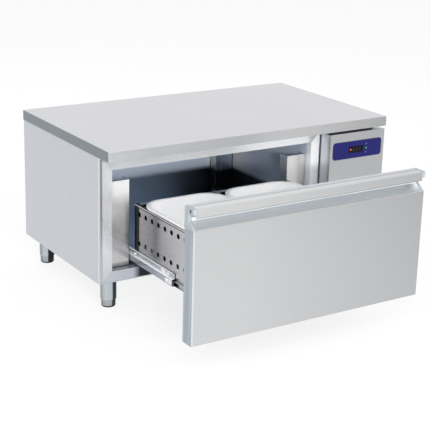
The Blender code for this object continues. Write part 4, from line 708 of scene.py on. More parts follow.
rail_steel, shader, place = steel("frame_rail_steel", (0.90, 0.91, 0.93), 0.26, "X", cloud=0.03)
put(shader, {"Metallic": FRAME_MIRROR})
at = axes(place)
# Painted shade: the rails' lowest face is darker, and a near-black painted shadow lies where the drawer box
# stands over it.
painted_low_shade = remap(at["Z"], PAINTED_SHADE_TOP, PAINTED_SHADE_TOP - 0.001)
tint(shader, painted_low_shade, (0.54, 0.565, 0.62))
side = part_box("drawer_side_left")[0].x + BOX_SHADE_START
painted_shadow_under_box = times(remap(at["X"], side, side + 0.028), remap(at["X"], -side, -side - 0.024))
painted_shadow_depth = remap(at["X"], side + 0.20, side + 0.06, 0.6, 0.97)
tint(shader, times(painted_shadow_under_box, painted_shadow_depth, painted_low_shade), (0.008, 0.009, 0.010))
stile_steel, shader, place = steel("frame_stile_steel", (0.96, 0.97, 0.98), 0.26, "Z", cloud=0.03)
at = axes(place)
# Painted shade: the stiles darken towards the bottom.
tint(shader, remap(at["Z"], 0.38, 0.12, 0.0, 0.95), (0.56, 0.585, 0.64))
put(shader, {"Metallic": remap(at["X"], 0.0, 0.1, FRAME_MIRROR, FRAME_MIRROR / 4)})
upright_steel, shader, place = steel("upright_steel", (0.60, 0.59, 0.59), 0.24, "Z", 0.04, 0.34)
at = axes(place)
drift = calc("MULTIPLY_ADD", noise(place, 9.0, 3.0), 0.16, at["Z"])
# Painted light on the uprights' upper part, fading to the right; at the rear, painted shade below the light
# level, a
# painted blue reflection on the front faces above it, and painted shadow lines along the rear edges.
painted_light = times(remap(drift, 0.38, 0.50), remap(at["X"], -0.1, 0.1, 1.0, 0.36))
tint(shader, painted_light, (0.98, 0.98, 0.98))
at_rear = remap(at["Y"], REAR_FROM, REAR_TO)
in_shade = times(at_rear, 0.9, remap(at["Z"], PAINTED_LIGHT_TO, PAINTED_LIGHT_FROM))
tint(shader, in_shade, (0.015, 0.018, 0.022))
facing = remap(facing_axes(place)["Y"], -0.6, -0.9, 0.0, 0.8)
painted_blue_reflection = times(at_rear, facing, remap(at["Z"], PAINTED_LIGHT_FROM, PAINTED_LIGHT_TO))
tint(shader, painted_blue_reflection, (0.42, 0.53, 0.66))
low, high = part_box("runner_support_left")[0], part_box("runner_support_right")[1]
sideways = calc("ABSOLUTE", calc("SUBTRACT", at["X"], (low.x + high.x) / 2))
painted_seam_shadow = calc("MAXIMUM", *[
    remap(value, edge - SEAM_SHADOW, edge - SEAM_SHADOW * 0.8)
    for value, edge in ((sideways, (high.x - low.x) / 2), (at["Y"], high.y))
])
tint(shader, times(painted_seam_shadow, at_rear), (0.008, 0.010, 0.013))
put(shader, {"Metallic": remap(painted_light, 0.0, 1.0, UPRIGHT_MIRROR, UPRIGHT_MIRROR * 0.7)})
dress(rail_steel, "frame_top_rail", "frame_bottom_rail")
dress(stile_steel, "frame_left_stile", "frame_right_stile")
dress(upright_steel, "runner_support_left", "runner_support_right")

# The machine bay: condenser with its fan and motor behind the louvres, compressor at the back, copper lines.
# Its front frame and cover are folded stainless, the cover held by four screws.

COVER_SCREW = 0.0065
COVER_SCREW_INSET = 0.0065
CONDENSER_FINS = 64
STAND_HEIGHT = 0.0178
STAND_INSET = (0.006, 0.009)
STAND_GAP = 0.0002

bay_steel, shader, place = steel("bay_frame_steel", (0.63, 0.65, 0.69), 0.32, "Z")
put(shader, {"Metallic": FRAME_MIRROR})
dress(bay_steel, "bay_front_frame")
dress(steel("bay_cover_steel", (0.56, 0.565, 0.58), 0.33, "Z", cloud=0.04)[0], "bay_cover")
dress(moulded("compressor_enamel", (0.018, 0.018, 0.02), 0.35, 0.25, 500.0)[0], "compressor")
dress(moulded("shroud_paint", (0.02, 0.02, 0.022), 0.38, 0.25, 600.0)[0], "fan_shroud")
coil("condenser", "condenser", CONDENSER_FINS, STAND_HEIGHT + STAND_GAP)
low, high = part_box("condenser")
dx, dy = STAND_INSET
stand = block((low.x + dx, low.y + dy, low.z), (high.x - dx, high.y - dy, low.z + STAND_HEIGHT), 0.0006)
piece("condenser_stand", stand, zinc, "cabinet", "zinc_steel")
low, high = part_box("bay_cover")
spots = [
    (x, low.y, z)
    for x in (low.x + COVER_SCREW_INSET, high.x - COVER_SCREW_INSET)
    for z in (low.z + COVER_SCREW_INSET, high.z - COVER_SCREW_INSET)
]
screw = (COVER_SCREW, zinc, "cabinet", "zinc_steel", RIVET_HEAD)
fasteners("cover_screws", spots, (0.0, -1.0, 0.0), *screw, seed=3)

# The controls: a printed blue film on the cover, with the controller's dark window, a lamp, a round power key
# and two small setting keys. The film is bare but for its thin border, and the keys' arrows are printed on.

FILM_BLUE = (0.012, 0.013, 0.115)
BORDER = (0.05, 0.052, 0.085)
KEY_RING = 0.0060
KEY_GLOW = (0.0032, 0.0016)
MARK_BLUE = (0.10, 0.34, 0.70)
LAMP_ORANGE = (0.50, 0.070, 0.020)
LAMP_RADIUS = 0.0044
LAMP_STEPS = 32
DIGITS = 3
SEGMENT = 0.0012
DIGIT_WIDTH = 0.0085
DIGIT_HEIGHT = 0.0150
DIGIT_PITCH = 0.0155
WINDOW_LEFT = 0.4262
LAMP_FROM_LEFT = 0.0080
DIGIT_FROM_LEFT = 0.0185
PRINT_PROUD = 0.00005
PRINT_SUNK = 0.0002
ARROW = ((-0.0021, -0.0010), (0.0021, -0.0010), (0.0, 0.0016))
FILM_CORNER = 0.012


def distance(*parts):
    """How far away something is, from its distances along the axes."""
    return calc("SQRT", calc("ADD", *[times(part, part) for part in parts]))


def from_middle(place, node):
    """How far along X and along Z a place is from the middle of a CAD node's box."""
    low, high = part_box(node)
    at = axes(place)
    return [calc("SUBTRACT", at[k], (low[k] + high[k]) / 2) for k in (0, 2)]


film, shader, place = finish("printed_film", FILM_BLUE, 0.36)
low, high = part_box("control_overlay")
reach = [
    calc("SUBTRACT", calc("ABSOLUTE", away), (high[k] - low[k]) / 2 - FILM_CORNER)
    for k, away in zip((0, 2), from_middle(place, "control_overlay"))
]
diagonal = distance(*[calc("MAXIMUM", value, 0.0) for value in reach])
inside = calc("MINIMUM", calc("MAXIMUM", *reach), 0.0)
depth = calc("SUBTRACT", calc("ADD", diagonal, inside), FILM_CORNER)
border = strip(depth, -0.0020, -0.0004, 0.0004)
mottle = remap(noise(place, 900.0, 2.0), 0.35, 0.7)
ink = blend(mottle, FILM_BLUE, [part * 0.85 for part in FILM_BLUE])
from_key = distance(*from_middle(place, "power_key"))
ink = blend(remap(from_key, KEY_RING, KEY_RING - 0.0004), ink, (0.004, 0.010, 0.010))
put(shader, {
    "Base Color": blend(border, ink, BORDER),
    "Roughness": remap(mottle, 0.0, 1.0, 0.32, 0.42),
    "Specular IOR Level": 0.15,
})
bump(shader, mottle, 0.04, 0.0001)
dress(film, "control_overlay")

window_glass, shader, place = moulded("window_acrylic", (0.003, 0.003, 0.004), 0.10, 0.3, 500.0)
put(shader, {"Specular IOR Level": 0.08})
dress(window_glass, "temperature_controller")
mark_ink = moulded("mark_ink", MARK_BLUE, 0.4, 0.15, 900.0)[0]
segment_grey = moulded("unlit_segment", (0.045, 0.044, 0.038), 0.3, 0.2, 900.0)[0]
lamp_lens, shader, place = moulded("lamp_lens", LAMP_ORANGE, 0.18, 0.1, 500.0)
put(shader, {"Emission Color": (*LAMP_ORANGE, 1.0), "Emission Strength": 0.12})
key_face, shader, place = finish("power_key_face", (0.02, 0.03, 0.03), 0.3)
glow = remap(distance(*from_middle(place, "power_key")), *KEY_GLOW)
put(shader, {
    "Base Color": blend(glow, (0.015, 0.020, 0.022), (0.08, 0.50, 0.12)),
    "Emission Color": blend(glow, (0.0, 0.0, 0.0), (0.03, 0.30, 0.06)),
    "Emission Strength": 1.0,
    "Roughness": remap(noise(place, 800.0), 0.3, 0.7, 0.25, 0.35),
})
dress(key_face, "power_key")
dress(moulded("key_film", (0.03, 0.05, 0.22), 0.35, 0.15, 900.0)[0], "up_key", "down_key")

low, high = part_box("power_key")
key_z = (low.z + high.z) / 2
face_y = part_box("temperature_controller")[0].y
lens = [(0.0, -0.0006), (0.6, -0.0005), (1.0, 0.0), (1.0, 0.0006), (0.0, 0.0006)]
spot = (WINDOW_LEFT + LAMP_FROM_LEFT, face_y, key_z)
shape = lathe([(LAMP_RADIUS * share, depth) for share, depth in lens], spot, "Y", LAMP_STEPS)
piece("run_lamp", shape, lamp_lens, "cabinet", "blue_film")
bars = []
rise, thin = DIGIT_HEIGHT / 2, SEGMENT / 2
for digit in range(DIGITS):
    x = WINDOW_LEFT + DIGIT_FROM_LEFT + digit * DIGIT_PITCH
    spans = [(x, x + DIGIT_WIDTH, z - thin, z + thin) for z in (-rise, 0.0, rise)]
    spans += [
        (side - thin, side + thin, z + SEGMENT, z + rise - SEGMENT)
        for side in (x, x + DIGIT_WIDTH)
        for z in (-rise, 0.0)
    ]
    for left, right, below, above in spans:
        near, far = face_y - PRINT_PROUD, face_y + PRINT_SUNK
        bars.append(block((left, near, key_z + below), (right, far, key_z + above)))
piece("display_segments", together(*bars), segment_grey, "cabinet", "black_plastic")
for name, way in (("up_key", 1), ("down_key", -1)):
    low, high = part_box(name)
    x, z = (low.x + high.x) / 2, (low.z + high.z) / 2
    rings = [[(x + u, y, z + way * v) for u, v in ARROW] for y in (low.y - PRINT_PROUD, low.y + PRINT_SUNK)]
    piece(f"{name}_arrow", shell(rings, ends=(0, -1)), mark_ink, name, "blue_film")

# Telescopic runners of zinc-plated steel: cabinet member, ball cage, middle member, ball cage, drawer member.
# The middle member is one sheet folded into two tracks. It ends in a white nylon stop and a black clip.

RUNNER_SHEET = 0.0012
LOWER_TRACK = 0.0265
TRACK_GAP = 0.0012
CAGE_SHEET = 0.0006
BALL_GAP = 0.0005
BALL_LAND = 0.0035
BALL_DIAMETER = 0.0029
BALLS_A_ROW = 12
CLIP_REACH = 0.012
CLIP_PLAY = 0.001
CLIP_HEIGHT = 0.018
CLIP_THICKNESS = 0.0026
STOP_LENGTH = 0.056
STOP_HEIGHT = 0.0172
STOP_THICKNESS = 0.0012
STOP_FROM_FRONT = 0.0335
DETENT_FROM_FRONT = 0.002
DETENT_LENGTH = 0.044
DETENT_HEIGHT = 0.0150
DETENT_THICKNESS = 0.0010
BUMPER_LENGTH = 0.020
BUMPER_REACH = 0.0090
STOP_STEPS = 24
STOP_SCREW = 0.0050
RIVET_FROM_FRONT = 0.024
RUNNER_SCREW = 0.0070
MEMBER_SCREWS = 4
ZINC_MIRROR = 0.7


def fold(path, radius, sheet, axis, start, stop, steps=6):
    """A sheet bent along a path in the plane square to an axis. The path is the middle of its thickness."""
    points = [Vector(p) for p in path]
    line = [points[0]]
    for before, corner, after in zip(points, points[1:], points[2:]):
        one, two = (before - corner).normalized(), (after - corner).normalized()
        half = one.angle(two) / 2
        back = min(radius / math.tan(half), (before - corner).length / 2.01, (after - corner).length / 2.01)
        centre = corner + (one + two).normalized() * (back / math.cos(half))
        first, last = corner + one * back, corner + two * back
        for k in range(steps + 1):
            arm = first.lerp(last, k / steps) - centre
            line.append(centre + arm.normalized() * (first - centre).length)
    line.append(points[-1])
    sides = []
    for k, point in enumerate(line):
        ahead = (line[min(k + 1, len(line) - 1)] - line[max(k - 1, 0)]).normalized()
        across = Vector((-ahead.y, ahead.x))
        step = (line[k + 1] - point).normalized() if k + 1 < len(line) else ahead
        reach = sheet / 2 / max(0.5, Vector((-step.y, step.x)).dot(across))
        sides.append((point + across * reach, point - across * reach))
    outline = [one for one, _ in sides] + [two for _, two in reversed(sides)]
    order = {"X": (2, 0, 1), "Y": (0, 2, 1)}[axis]
    bm = shell([[[(*point, level)[k] for k in order] for point in outline] for level in (start, stop)])
    corners = list(bm.verts)
    for ring in (corners[:len(outline)], corners[len(outline):]):
        for k in range(len(line) - 1):
            bm.faces.new((ring[k], ring[k + 1], ring[-k - 2], ring[-k - 1]))
    bmesh.ops.recalc_face_normals(bm, faces=bm.faces)
    return bm


def channel(face, inward, middle, level, web, edge, sheet, start, stop):
    """A C section in a track, its web and its edges at these distances from the face that it is fixed to."""
    path = [
        (face + inward * edge, middle + level),
        (face + inward * web, middle + level),
        (face + inward * web, middle - level),
        (face + inward * edge, middle - level),
    ]
    return fold(path, sheet, sheet, "Y", start, stop, 4)


def rounded_bar(near, far, start, stop, centre, height):
    """A flat bar with round ends that lies along Y, between two planes square to X."""
    radius = height / 2
    outline = []
    for end, begin in ((start + radius, math.pi / 2), (stop - radius, -math.pi / 2)):
        for k in range(STOP_STEPS + 1):
            a = begin + math.pi * k / STOP_STEPS
            outline.append((end + radius * math.cos(a), centre + radius * math.sin(a)))
    return shell([[(x, y, z) for y, z in outline] for x in (near, far)], ends=(0, -1))


ball_row = row_tree("ball_row", "GeometryNodeMeshIcoSphere", "Radius", "Float", Subdivisions=3)
runner_zinc = steel("runner_zinc", (0.54, 0.56, 0.60), 0.24, "Y", streak=0.06, cloud=0.10)[0]
middle_zinc, shader, place = steel("middle_member_zinc", (0.52, 0.54, 0.58), 0.24, "Y", 0.06, 0.10)
height = axes(place)["Z"]
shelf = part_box("runner_outer_left")[0].z + LOWER_TRACK
# Painted shade on the lower track below the shelf, and a painted highlight on upward faces and along the
# shelf's bend.
tint(shader, remap(height, shelf - RUNNER_SHEET, shelf - 1.5 * RUNNER_SHEET), (0.40, 0.42, 0.48))
upward = facing_axes(place)["Z"]
rolled = strip(height, shelf - 0.0030, shelf + 0.0004, 0.0004)
painted_ledge_highlight = calc("MAXIMUM", remap(upward, 0.2, 0.7), rolled)
tint(shader, painted_ledge_highlight, (0.95, 0.96, 0.98))
put(shader, {"Metallic": remap(painted_ledge_highlight, 0.0, 1.0, ZINC_MIRROR, 0.0)})
ball_steel = moulded("ball_steel", (0.75, 0.76, 0.78), 0.12, 0.05, 900.0, 1.0)[0]
cage_nylon = moulded("cage_nylon", (0.72, 0.73, 0.74), 0.40, 0.08, 800.0)[0]
stop_nylon = moulded("stop_nylon", (0.86, 0.87, 0.88), 0.35, 0.05, 800.0)[0]
for side, way in (("left", -1), ("right", 1)):
    fixed, track, moving = (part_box(f"runner_{name}_{side}") for name in ("outer", "inner", "middle"))
    face = fixed[0].x if way < 0 else fixed[1].x
    plate = track[1].x if way < 0 else track[0].x
    bottom, top = fixed[0].z, fixed[1].z
    shelf = bottom + LOWER_TRACK
    upper = (face, -way, (shelf + top - RUNNER_SHEET) / 2, (top - RUNNER_SHEET - shelf) / 2)
    lower = (plate, way, (bottom + shelf) / 2, (shelf - bottom) / 2 - RUNNER_SHEET)
    web = abs(plate - face) - TRACK_GAP - RUNNER_SHEET / 2
    cage_web = web - RUNNER_SHEET / 2 - BALL_GAP - CAGE_SHEET / 2
    edge = cage_web - CAGE_SHEET / 2 - BALL_GAP
    for name, room, run, body in (("outer", upper, fixed, "cabinet"), ("inner", lower, track, "drawer")):
        level = room[3] - BALL_LAND - RUNNER_SHEET / 2
        shape = channel(*room[:3], level, RUNNER_SHEET / 2, edge, RUNNER_SHEET, run[0].y, run[1].y)
        piece(f"{body}_member_{side}", shape, runner_zinc, body, "zinc_steel", f"runner_{name}_{side}")
        cage = f"ball_cage_{name}_{side}"
        low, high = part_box(cage)
        level = room[3] - BALL_LAND / 2
        shape = channel(*room[:3], level, cage_web, 2 * RUNNER_SHEET, CAGE_SHEET, low.y, high.y)
        piece(f"cage_strip_{name}_{side}", shape, cage_nylon, cage, "zinc_steel", cage)
        pitch = (high.y - low.y) / BALLS_A_ROW
        balls = bmesh.new()
        for sign in (-1, 1):
            values = {
                "Count": BALLS_A_ROW,
                "Start": (face - way * web / 2 if name == "outer" else plate + way * web / 2,
                          low.y + pitch / 2, room[2] + sign * level),
                "Step": (0.0, pitch, 0.0),
                "Size": BALL_DIAMETER / 2,
                "Material": ball_steel,
            }
            balls.from_mesh(grow(f"balls_{name}_{side}", ball_row, values))
        piece(f"balls_{name}_{side}", balls, ball_steel, cage, "zinc_steel")
    body = f"runner_middle_{side}"
    start = moving[0].y + CLIP_REACH
    half = RUNNER_SHEET / 2
    member = fold([
        (face - way * TRACK_GAP, top - half),
        (face - way * web, top - half),
        (face - way * web, shelf - half),
        (plate + way * web, shelf - half),
        (plate + way * web, bottom + half),
        (plate + way * TRACK_GAP, bottom + half),
    ], RUNNER_SHEET, RUNNER_SHEET, "Y", start, moving[1].y, 4)
    piece(f"double_track_{side}", member, middle_zinc, body, "zinc_steel", body)
    clip_x = sorted(face - way * away for away in (TRACK_GAP / 2, TRACK_GAP / 2 + CLIP_THICKNESS))
    clip = block((clip_x[0], start - CLIP_REACH + CLIP_PLAY, lower[2] - CLIP_HEIGHT / 2),
                 (clip_x[1], start + RUNNER_SHEET, lower[2] + CLIP_HEIGHT / 2), 0.0006)
    piece(f"runner_clip_{side}", clip, black_moulding, body, "black_plastic")
    wall = face - way * (web - half)
    begin = start + STOP_FROM_FRONT
    out = wall + way * STOP_THICKNESS
    stop = rounded_bar(wall, out, begin, begin + STOP_LENGTH, upper[2], STOP_HEIGHT)
    piece(f"runner_stop_{side}", stop, stop_nylon, body, "white_plastic")
    dark_head = ((way, 0.0, 0.0), STOP_SCREW, black_moulding, body, "zinc_steel", RIVET_HEAD)
    fasteners(f"stop_screw_{side}", [(out, begin + STOP_HEIGHT, upper[2])], *dark_head, seed=4)
    outside = plate + way * (web + half)
    out = outside + way * DETENT_THICKNESS
    begin = start + DETENT_FROM_FRONT
    detent = rounded_bar(outside, out, begin, begin + DETENT_LENGTH, lower[2], DETENT_HEIGHT)
    piece(f"runner_detent_{side}", detent, stop_nylon, body, "white_plastic")
    bumper_x = sorted((face, face - way * (edge - RUNNER_SHEET)))
    rise = upper[3] - BALL_LAND - RUNNER_SHEET
    bumper = block((bumper_x[0], fixed[0].y - BUMPER_REACH, upper[2] - rise),
                   (bumper_x[1], fixed[0].y - BUMPER_REACH + BUMPER_LENGTH, upper[2] + rise), 0.0015)
    piece(f"runner_bumper_{side}", bumper, stop_nylon, "cabinet", "white_plastic")
    fasteners(f"middle_rivet_{side}", [(out, start + RIVET_FROM_FRONT, lower[2])], *dark_head, seed=5)
    pitch = (track[1].y - track[0].y) / MEMBER_SCREWS
    out = plate + way * RUNNER_SHEET
    spots = [(out, track[0].y + pitch * (k + 0.25), lower[2]) for k in range(MEMBER_SCREWS)]
    facing = (way, 0.0, 0.0)
    fasteners(f"member_screws_{side}", spots, facing, RUNNER_SCREW, zinc, "drawer", "zinc_steel", seed=6)

# The drawer box: two side plates with a rolled hem and two rows of round holes, tied by the cross frame.
# The plates are bright stainless sheet that has been blanked, punched and folded.

SHEET = 0.0012
HEM = 0.003
FLANGE = 0.012
HOLE = 0.0185
HOLE_PITCH = 0.044
HOLES = 12
HOLE_STEPS = 40
FIRST_HOLE = 0.0335
ROWS = (0.352, 0.849)
PAINTED_REAR_SHADE = 0.032
HEM_SHADOW = 0.0055
BOX_REACH = 0.080
WELD = 0.000005
WEB_FOOT = 0.010
WEB_HEAD = 0.012
FOOT_BEND = 0.0018
HEM_BEND = 0.0014
SOFT = 0.0004
PAINTED_SHADE_BAND = (0.395, 0.455, 0.025)


def openness(place, reach):
    """How open the space in front of a surface is, within a reach."""
    return add(place.id_data, "ShaderNodeAmbientOcclusion", {"Distance": reach}, samples=6).outputs["AO"]


def perforated_tree():
    """A flat plate in the XY plane with two rows of round holes, drawn out to its thickness."""
    tree, given, made = geometry_tree(
        "perforated_plate", Length="Float", Height="Float", Thickness="Float", Radius="Float",
        Count="Int", Step="Vector", Lower="Vector", Upper="Vector",
    )
    outline = add(tree, "GeometryNodeCurvePrimitiveQuadrilateral", {
        "Width": given["Length"],
        "Height": given["Height"],
    }, mode="RECTANGLE").outputs[0]
    ring = add(tree, "GeometryNodeCurvePrimitiveCircle", {
        "Resolution": HOLE_STEPS,
        "Radius": given["Radius"],
    }, mode="RADIUS").outputs[0]
    rows = [row(tree, given, ring, start) for start in ("Lower", "Upper")]
    rows = [add(tree, "GeometryNodeRealizeInstances", {"Geometry": rings}).outputs[0] for rings in rows]
    joined = add(tree, "GeometryNodeJoinGeometry")
    for curve in (outline, *rows):
        tree.links.new(curve, joined.inputs[0])
    face = add(tree, "GeometryNodeFillCurve", {"Curve": joined.outputs[0]}).outputs[0]
    drawn = add(tree, "GeometryNodeExtrudeMesh", {
        "Mesh": face,
        "Offset": add(tree, "ShaderNodeCombineXYZ", {"Z": given["Thickness"]}).outputs[0],
        "Individual": False,
    }, mode="FACES")
    under = add(tree, "GeometryNodeFlipFaces", {"Mesh": face}).outputs[0]
    whole = add(tree, "GeometryNodeJoinGeometry")
    tree.links.new(drawn.outputs["Mesh"], whole.inputs[0])
    tree.links.new(under, whole.inputs[0])
    merged = add(tree, "GeometryNodeMergeByDistance", {"Geometry": whole.outputs[0], "Distance": WELD})
    end_tree(tree, given, made, merged.outputs[0])
    return tree


perforated_plate = perforated_tree()
box_steel, shader, place = steel("drawer_box_steel", (0.50, 0.49, 0.50), 0.27, "Y", 0.05, 0.26)
at = axes(place)
low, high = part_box("drawer_side_left")
# Painted shade on the side plates: a faint band across them, near black over their rear end and under the
# hem;
# then a painted highlight on the hem and a painted dark reflection along its top.
along = calc("SUBTRACT", calc("MULTIPLY_ADD", noise(place, 14.0), 0.030, at["Y"]), low.y)
tint(shader, times(strip(along, *PAINTED_SHADE_BAND), 0.35), (0.16, 0.19, 0.24))
rear = high.y - PAINTED_REAR_SHADE
tint(shader, remap(at["Y"], rear - 0.0015, rear, 0.0, 0.97), (0.008, 0.009, 0.012))
hem = high.z - HEM
painted_shadow_under_hem = strip(at["Z"], hem - HEM_SHADOW - SOFT, hem, SOFT)
tint(shader, times(painted_shadow_under_hem, 0.93), (0.010, 0.011, 0.014))
tint(shader, remap(at["Z"], hem - SOFT / 2, hem + SOFT / 2, 0.0, 0.8), (0.95, 0.95, 0.95))
tint(shader, remap(at["Z"], high.z - 0.0003, high.z - 0.0001, 0.0, 0.9), (0.07, 0.08, 0.10))
frame_steel, shader, place = steel("cross_frame_steel", (0.62, 0.63, 0.65), 0.27, "X", edge=0.0014)
put(shader, {"Metallic": UPRIGHT_MIRROR})
# Painted shade: near black where the space in front is enclosed; painted highlight on upward faces.
open_share = openness(place, BOX_REACH)
upward = facing_axes(place)["Z"]
closed = times(remap(open_share, 0.92, 0.75), remap(upward, 0.6, 0.3))
tint(shader, closed, (0.006, 0.007, 0.009))
tint(shader, remap(upward, 0.6, 0.8), (0.92, 0.93, 0.95))
dress(frame_steel, "drawer_cross_frame")
for side, way in (("left", -1), ("right", 1)):
    low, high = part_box(f"drawer_side_{side}")
    wall = (low.x + HEM if way < 0 else high.x - HEM) - way * SHEET / 2
    bottom, top = low.z + SHEET / 2, high.z - SHEET / 2
    length = high.y - low.y
    web_low, web_high = low.z + WEB_FOOT, high.z - HEM - WEB_HEAD
    height = high.z - low.z
    middle = (web_low + web_high) / 2
    values = {
        "Length": length,
        "Height": web_high - web_low,
        "Thickness": SHEET,
        "Radius": HOLE / 2,
        "Count": HOLES,
        "Step": (-HOLE_PITCH, 0.0, 0.0),
        "Material": box_steel,
    }
    for start, share in zip(("Lower", "Upper"), ROWS):
        values[start] = (length / 2 - FIRST_HOLE, low.z + share * height - middle, 0.0)
    plate = grow(f"web_{side}", perforated_plate, values)
    plate.transform(Matrix((
        (0, 0, 1, wall - SHEET / 2),
        (1, 0, 0, low.y + length / 2),
        (0, 1, 0, middle),
        (0, 0, 0, 1),
    )))
    web = bmesh.new()
    web.from_mesh(plate)
    foot = [(wall - way * FLANGE, bottom), (wall, bottom), (wall, web_low)]
    foot = fold(foot, FOOT_BEND, SHEET, "Y", low.y, high.y)
    head = fold([
        (wall, web_high),
        (wall, top - HEM),
        (wall + way * HEM, top - HEM),
        (wall + way * HEM, top),
        (wall - way * FLANGE, top),
    ], HEM_BEND, SHEET, "Y", low.y, high.y)
    shape = together(web, foot, head)
    piece(f"perforated_side_{side}", shape, box_steel, "drawer", "brushed_steel", f"drawer_side_{side}")

# Two white food pans, full size, moulded in one piece with a rolled rim, drafted walls and a rounded floor.
# They hang by their rims on the drawer box and lift straight out.

PAN_DEPTH = 0.200
PAN_WALL = 0.0025
PAN_RIM = 0.012
PAN_RIM_HEIGHT = 0.007
PAN_CORNER = 0.085
PAN_TAPER = 0.016
PAN_FILLET = 0.018
PAN_LIP = 0.003
PAN_CORNER_LOSS = 0.6
PAN_UNLIT = (0.052, 0.044)
PAN_LEAST_CORNER = 0.02
CORNER_STEPS = 20
FILLET_STEPS = 8
GAP_REACH = 0.060


def pan_finish(side):
    """White moulded stuff, with painted shade: black on its outer walls below the rim where the drawer box is
    close.
    """
    material, shader, place = moulded(f"pan_white_{side}", (0.95, 0.953, 0.957), 0.26, 0.02, 700.0)
    put(shader, {"Coat Weight": 0.3, "Coat Roughness": 0.12})
    low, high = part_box(f"pan_{side}")
    middle = (low + high) / 2
    apart = add(place.id_data, "ShaderNodeVectorMath", {0: place, 1: middle}, operation="SUBTRACT")
    apart = axes(apart.outputs[0])
    facing = facing_axes(place)
    away = [times(calc("SIGN", apart[k]), facing[k]) for k in range(3)]
    away = calc("MAXIMUM", away[2], calc("MAXIMUM", away[0], away[1]))
    outer = remap(away, 0.30, 0.45)
    rim = high.z - middle.z - PAN_RIM_HEIGHT
    below = remap(apart["Z"], rim, rim - 0.001)
    # Painted shade from how enclosed and how low the outer walls are.
    closed = calc("MAXIMUM", remap(openness(place, GAP_REACH), 0.99, 0.88), remap(apart["Z"], *PAN_UNLIT))
    tint(shader, times(outer, below, closed), (0.004, 0.004, 0.005))
    return material


for side in ("left", "right"):
    low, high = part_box(f"pan_{side}")
    x, y = (low.x + high.x) / 2, (low.y + high.y) / 2
    width, length = high.x - low.x, high.y - low.y
    rim_low, top = high.z - PAN_RIM_HEIGHT, high.z
    floor_z = high.z - PAN_DEPTH + PAN_WALL
    foot = PAN_RIM + PAN_TAPER
    levels = [(0.0, rim_low), (0.0, top - PAN_LIP)]
    for a in (0.4, 0.8, 1.2, math.pi / 2):
        levels.append((PAN_LIP * (1 - math.cos(a)), top - PAN_LIP * (1 - math.sin(a))))
    levels += [(PAN_RIM - 0.002, top), (PAN_RIM, top - 0.0005), (PAN_RIM + 0.002, top - 0.0025)]
    for k in range(FILLET_STEPS + 1):
        a = math.pi / 2 * k / FILLET_STEPS
        levels.append((foot + PAN_FILLET * (1 - math.cos(a)), floor_z + PAN_FILLET * (1 - math.sin(a))))
    rings = []
    for inset, z in levels:
        corner = max(PAN_LEAST_CORNER, PAN_CORNER - PAN_CORNER_LOSS * inset)
        ring = []
        for quarter, (sx, sy) in enumerate(((1, 1), (-1, 1), (-1, -1), (1, -1))):
            for k in range(CORNER_STEPS + 1):
                a = math.pi / 2 * (quarter + k / CORNER_STEPS)
                ring.append((
                    x + sx * (width / 2 - inset - corner) + corner * math.cos(a),
                    y + sy * (length / 2 - inset - corner) + corner * math.sin(a),
                    z,
                ))
        rings.append(ring)
    bm = shell(rings, ends=(-1,))
    bm.faces.ensure_lookup_table()
    if bm.faces[-1].normal.z < 0:
        bmesh.ops.reverse_faces(bm, faces=bm.faces)
    obj = piece(f"food_pan_{side}", bm, pan_finish(side), f"pan_{side}", "white_plastic", f"pan_{side}")
    wall = obj.modifiers.new("wall", "SOLIDIFY")
    wall.thickness = PAN_WALL
    wall.offset = -1.0
    wall.use_even_offset = True

# The drawer front: a folded outer skin over foam, a full-width grip rail with grey end caps, an inner panel
# and a magnetic gasket. The skin and the rail are satin stainless, brushed along their length.

GRIP_DEPTH = 0.0305
GRIP_MOUTH = 0.0145
LIP_HEIGHT = 0.032
LIP_HEM = 0.005
SLOPE_HEIGHT = 0.024
BEND = 0.004
SIDE_EDGE = 0.0007
BRIGHT_EDGE = 0.0075
SHADE_FROM = 0.2
CAP_HOLE = (0.0175, 0.0110)
CAP_HOLE_RADIUS = 0.0060
GASKET_BAND = 0.0185
GASKET_PROFILE = (
    (0.0000, 0.0000), (0.0040, 0.0000), (0.0048, 0.0020), (0.0036, 0.0034), (0.0052, 0.0048),
    (0.0036, 0.0062), (0.0050, 0.0074), (0.0080, 0.0080), (0.0086, 0.0098), (0.0080, 0.0110),
    (0.0008, 0.0112), (0.0000, 0.0100),
)

front_steel, shader, place = steel("drawer_front_steel", (0.66, 0.665, 0.672), 0.34, "X", cloud=0.05)
low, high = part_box("drawer_front_skin")
along = axes(place)["X"]
# Painted shade: the skin darkens towards the right, and its left side face is darker; a painted highlight
# line runs
# beside that edge.
tint(shader, remap(along, low.x + SHADE_FROM, high.x), (0.55, 0.555, 0.57))
stretched = add(shader.id_data, "ShaderNodeMapping", {"Vector": place, "Scale": (0.0, 90.0, 2.0)}).outputs[0]
ribs = remap(noise(stretched, 1.0), 0.35, 0.65)
painted_side_shade = blend(ribs, (0.33, 0.375, 0.42), (0.45, 0.50, 0.545))
edge, bright = low.x + SIDE_EDGE, low.x + BRIGHT_EDGE
tint(shader, remap(along, edge, edge - 0.0003), painted_side_shade)
painted_edge_highlight = times(remap(along, edge, edge + 0.0003), remap(along, bright, bright - 0.002))
tint(shader, times(painted_edge_highlight, 0.75), (0.86, 0.87, 0.88))
grip_steel, shader, place = steel("grip_rail_steel", (0.71, 0.715, 0.72), 0.34, "X", streak=0.10)
at = axes(place)
low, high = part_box("grip_rail")
lip = high.z - LIP_HEIGHT
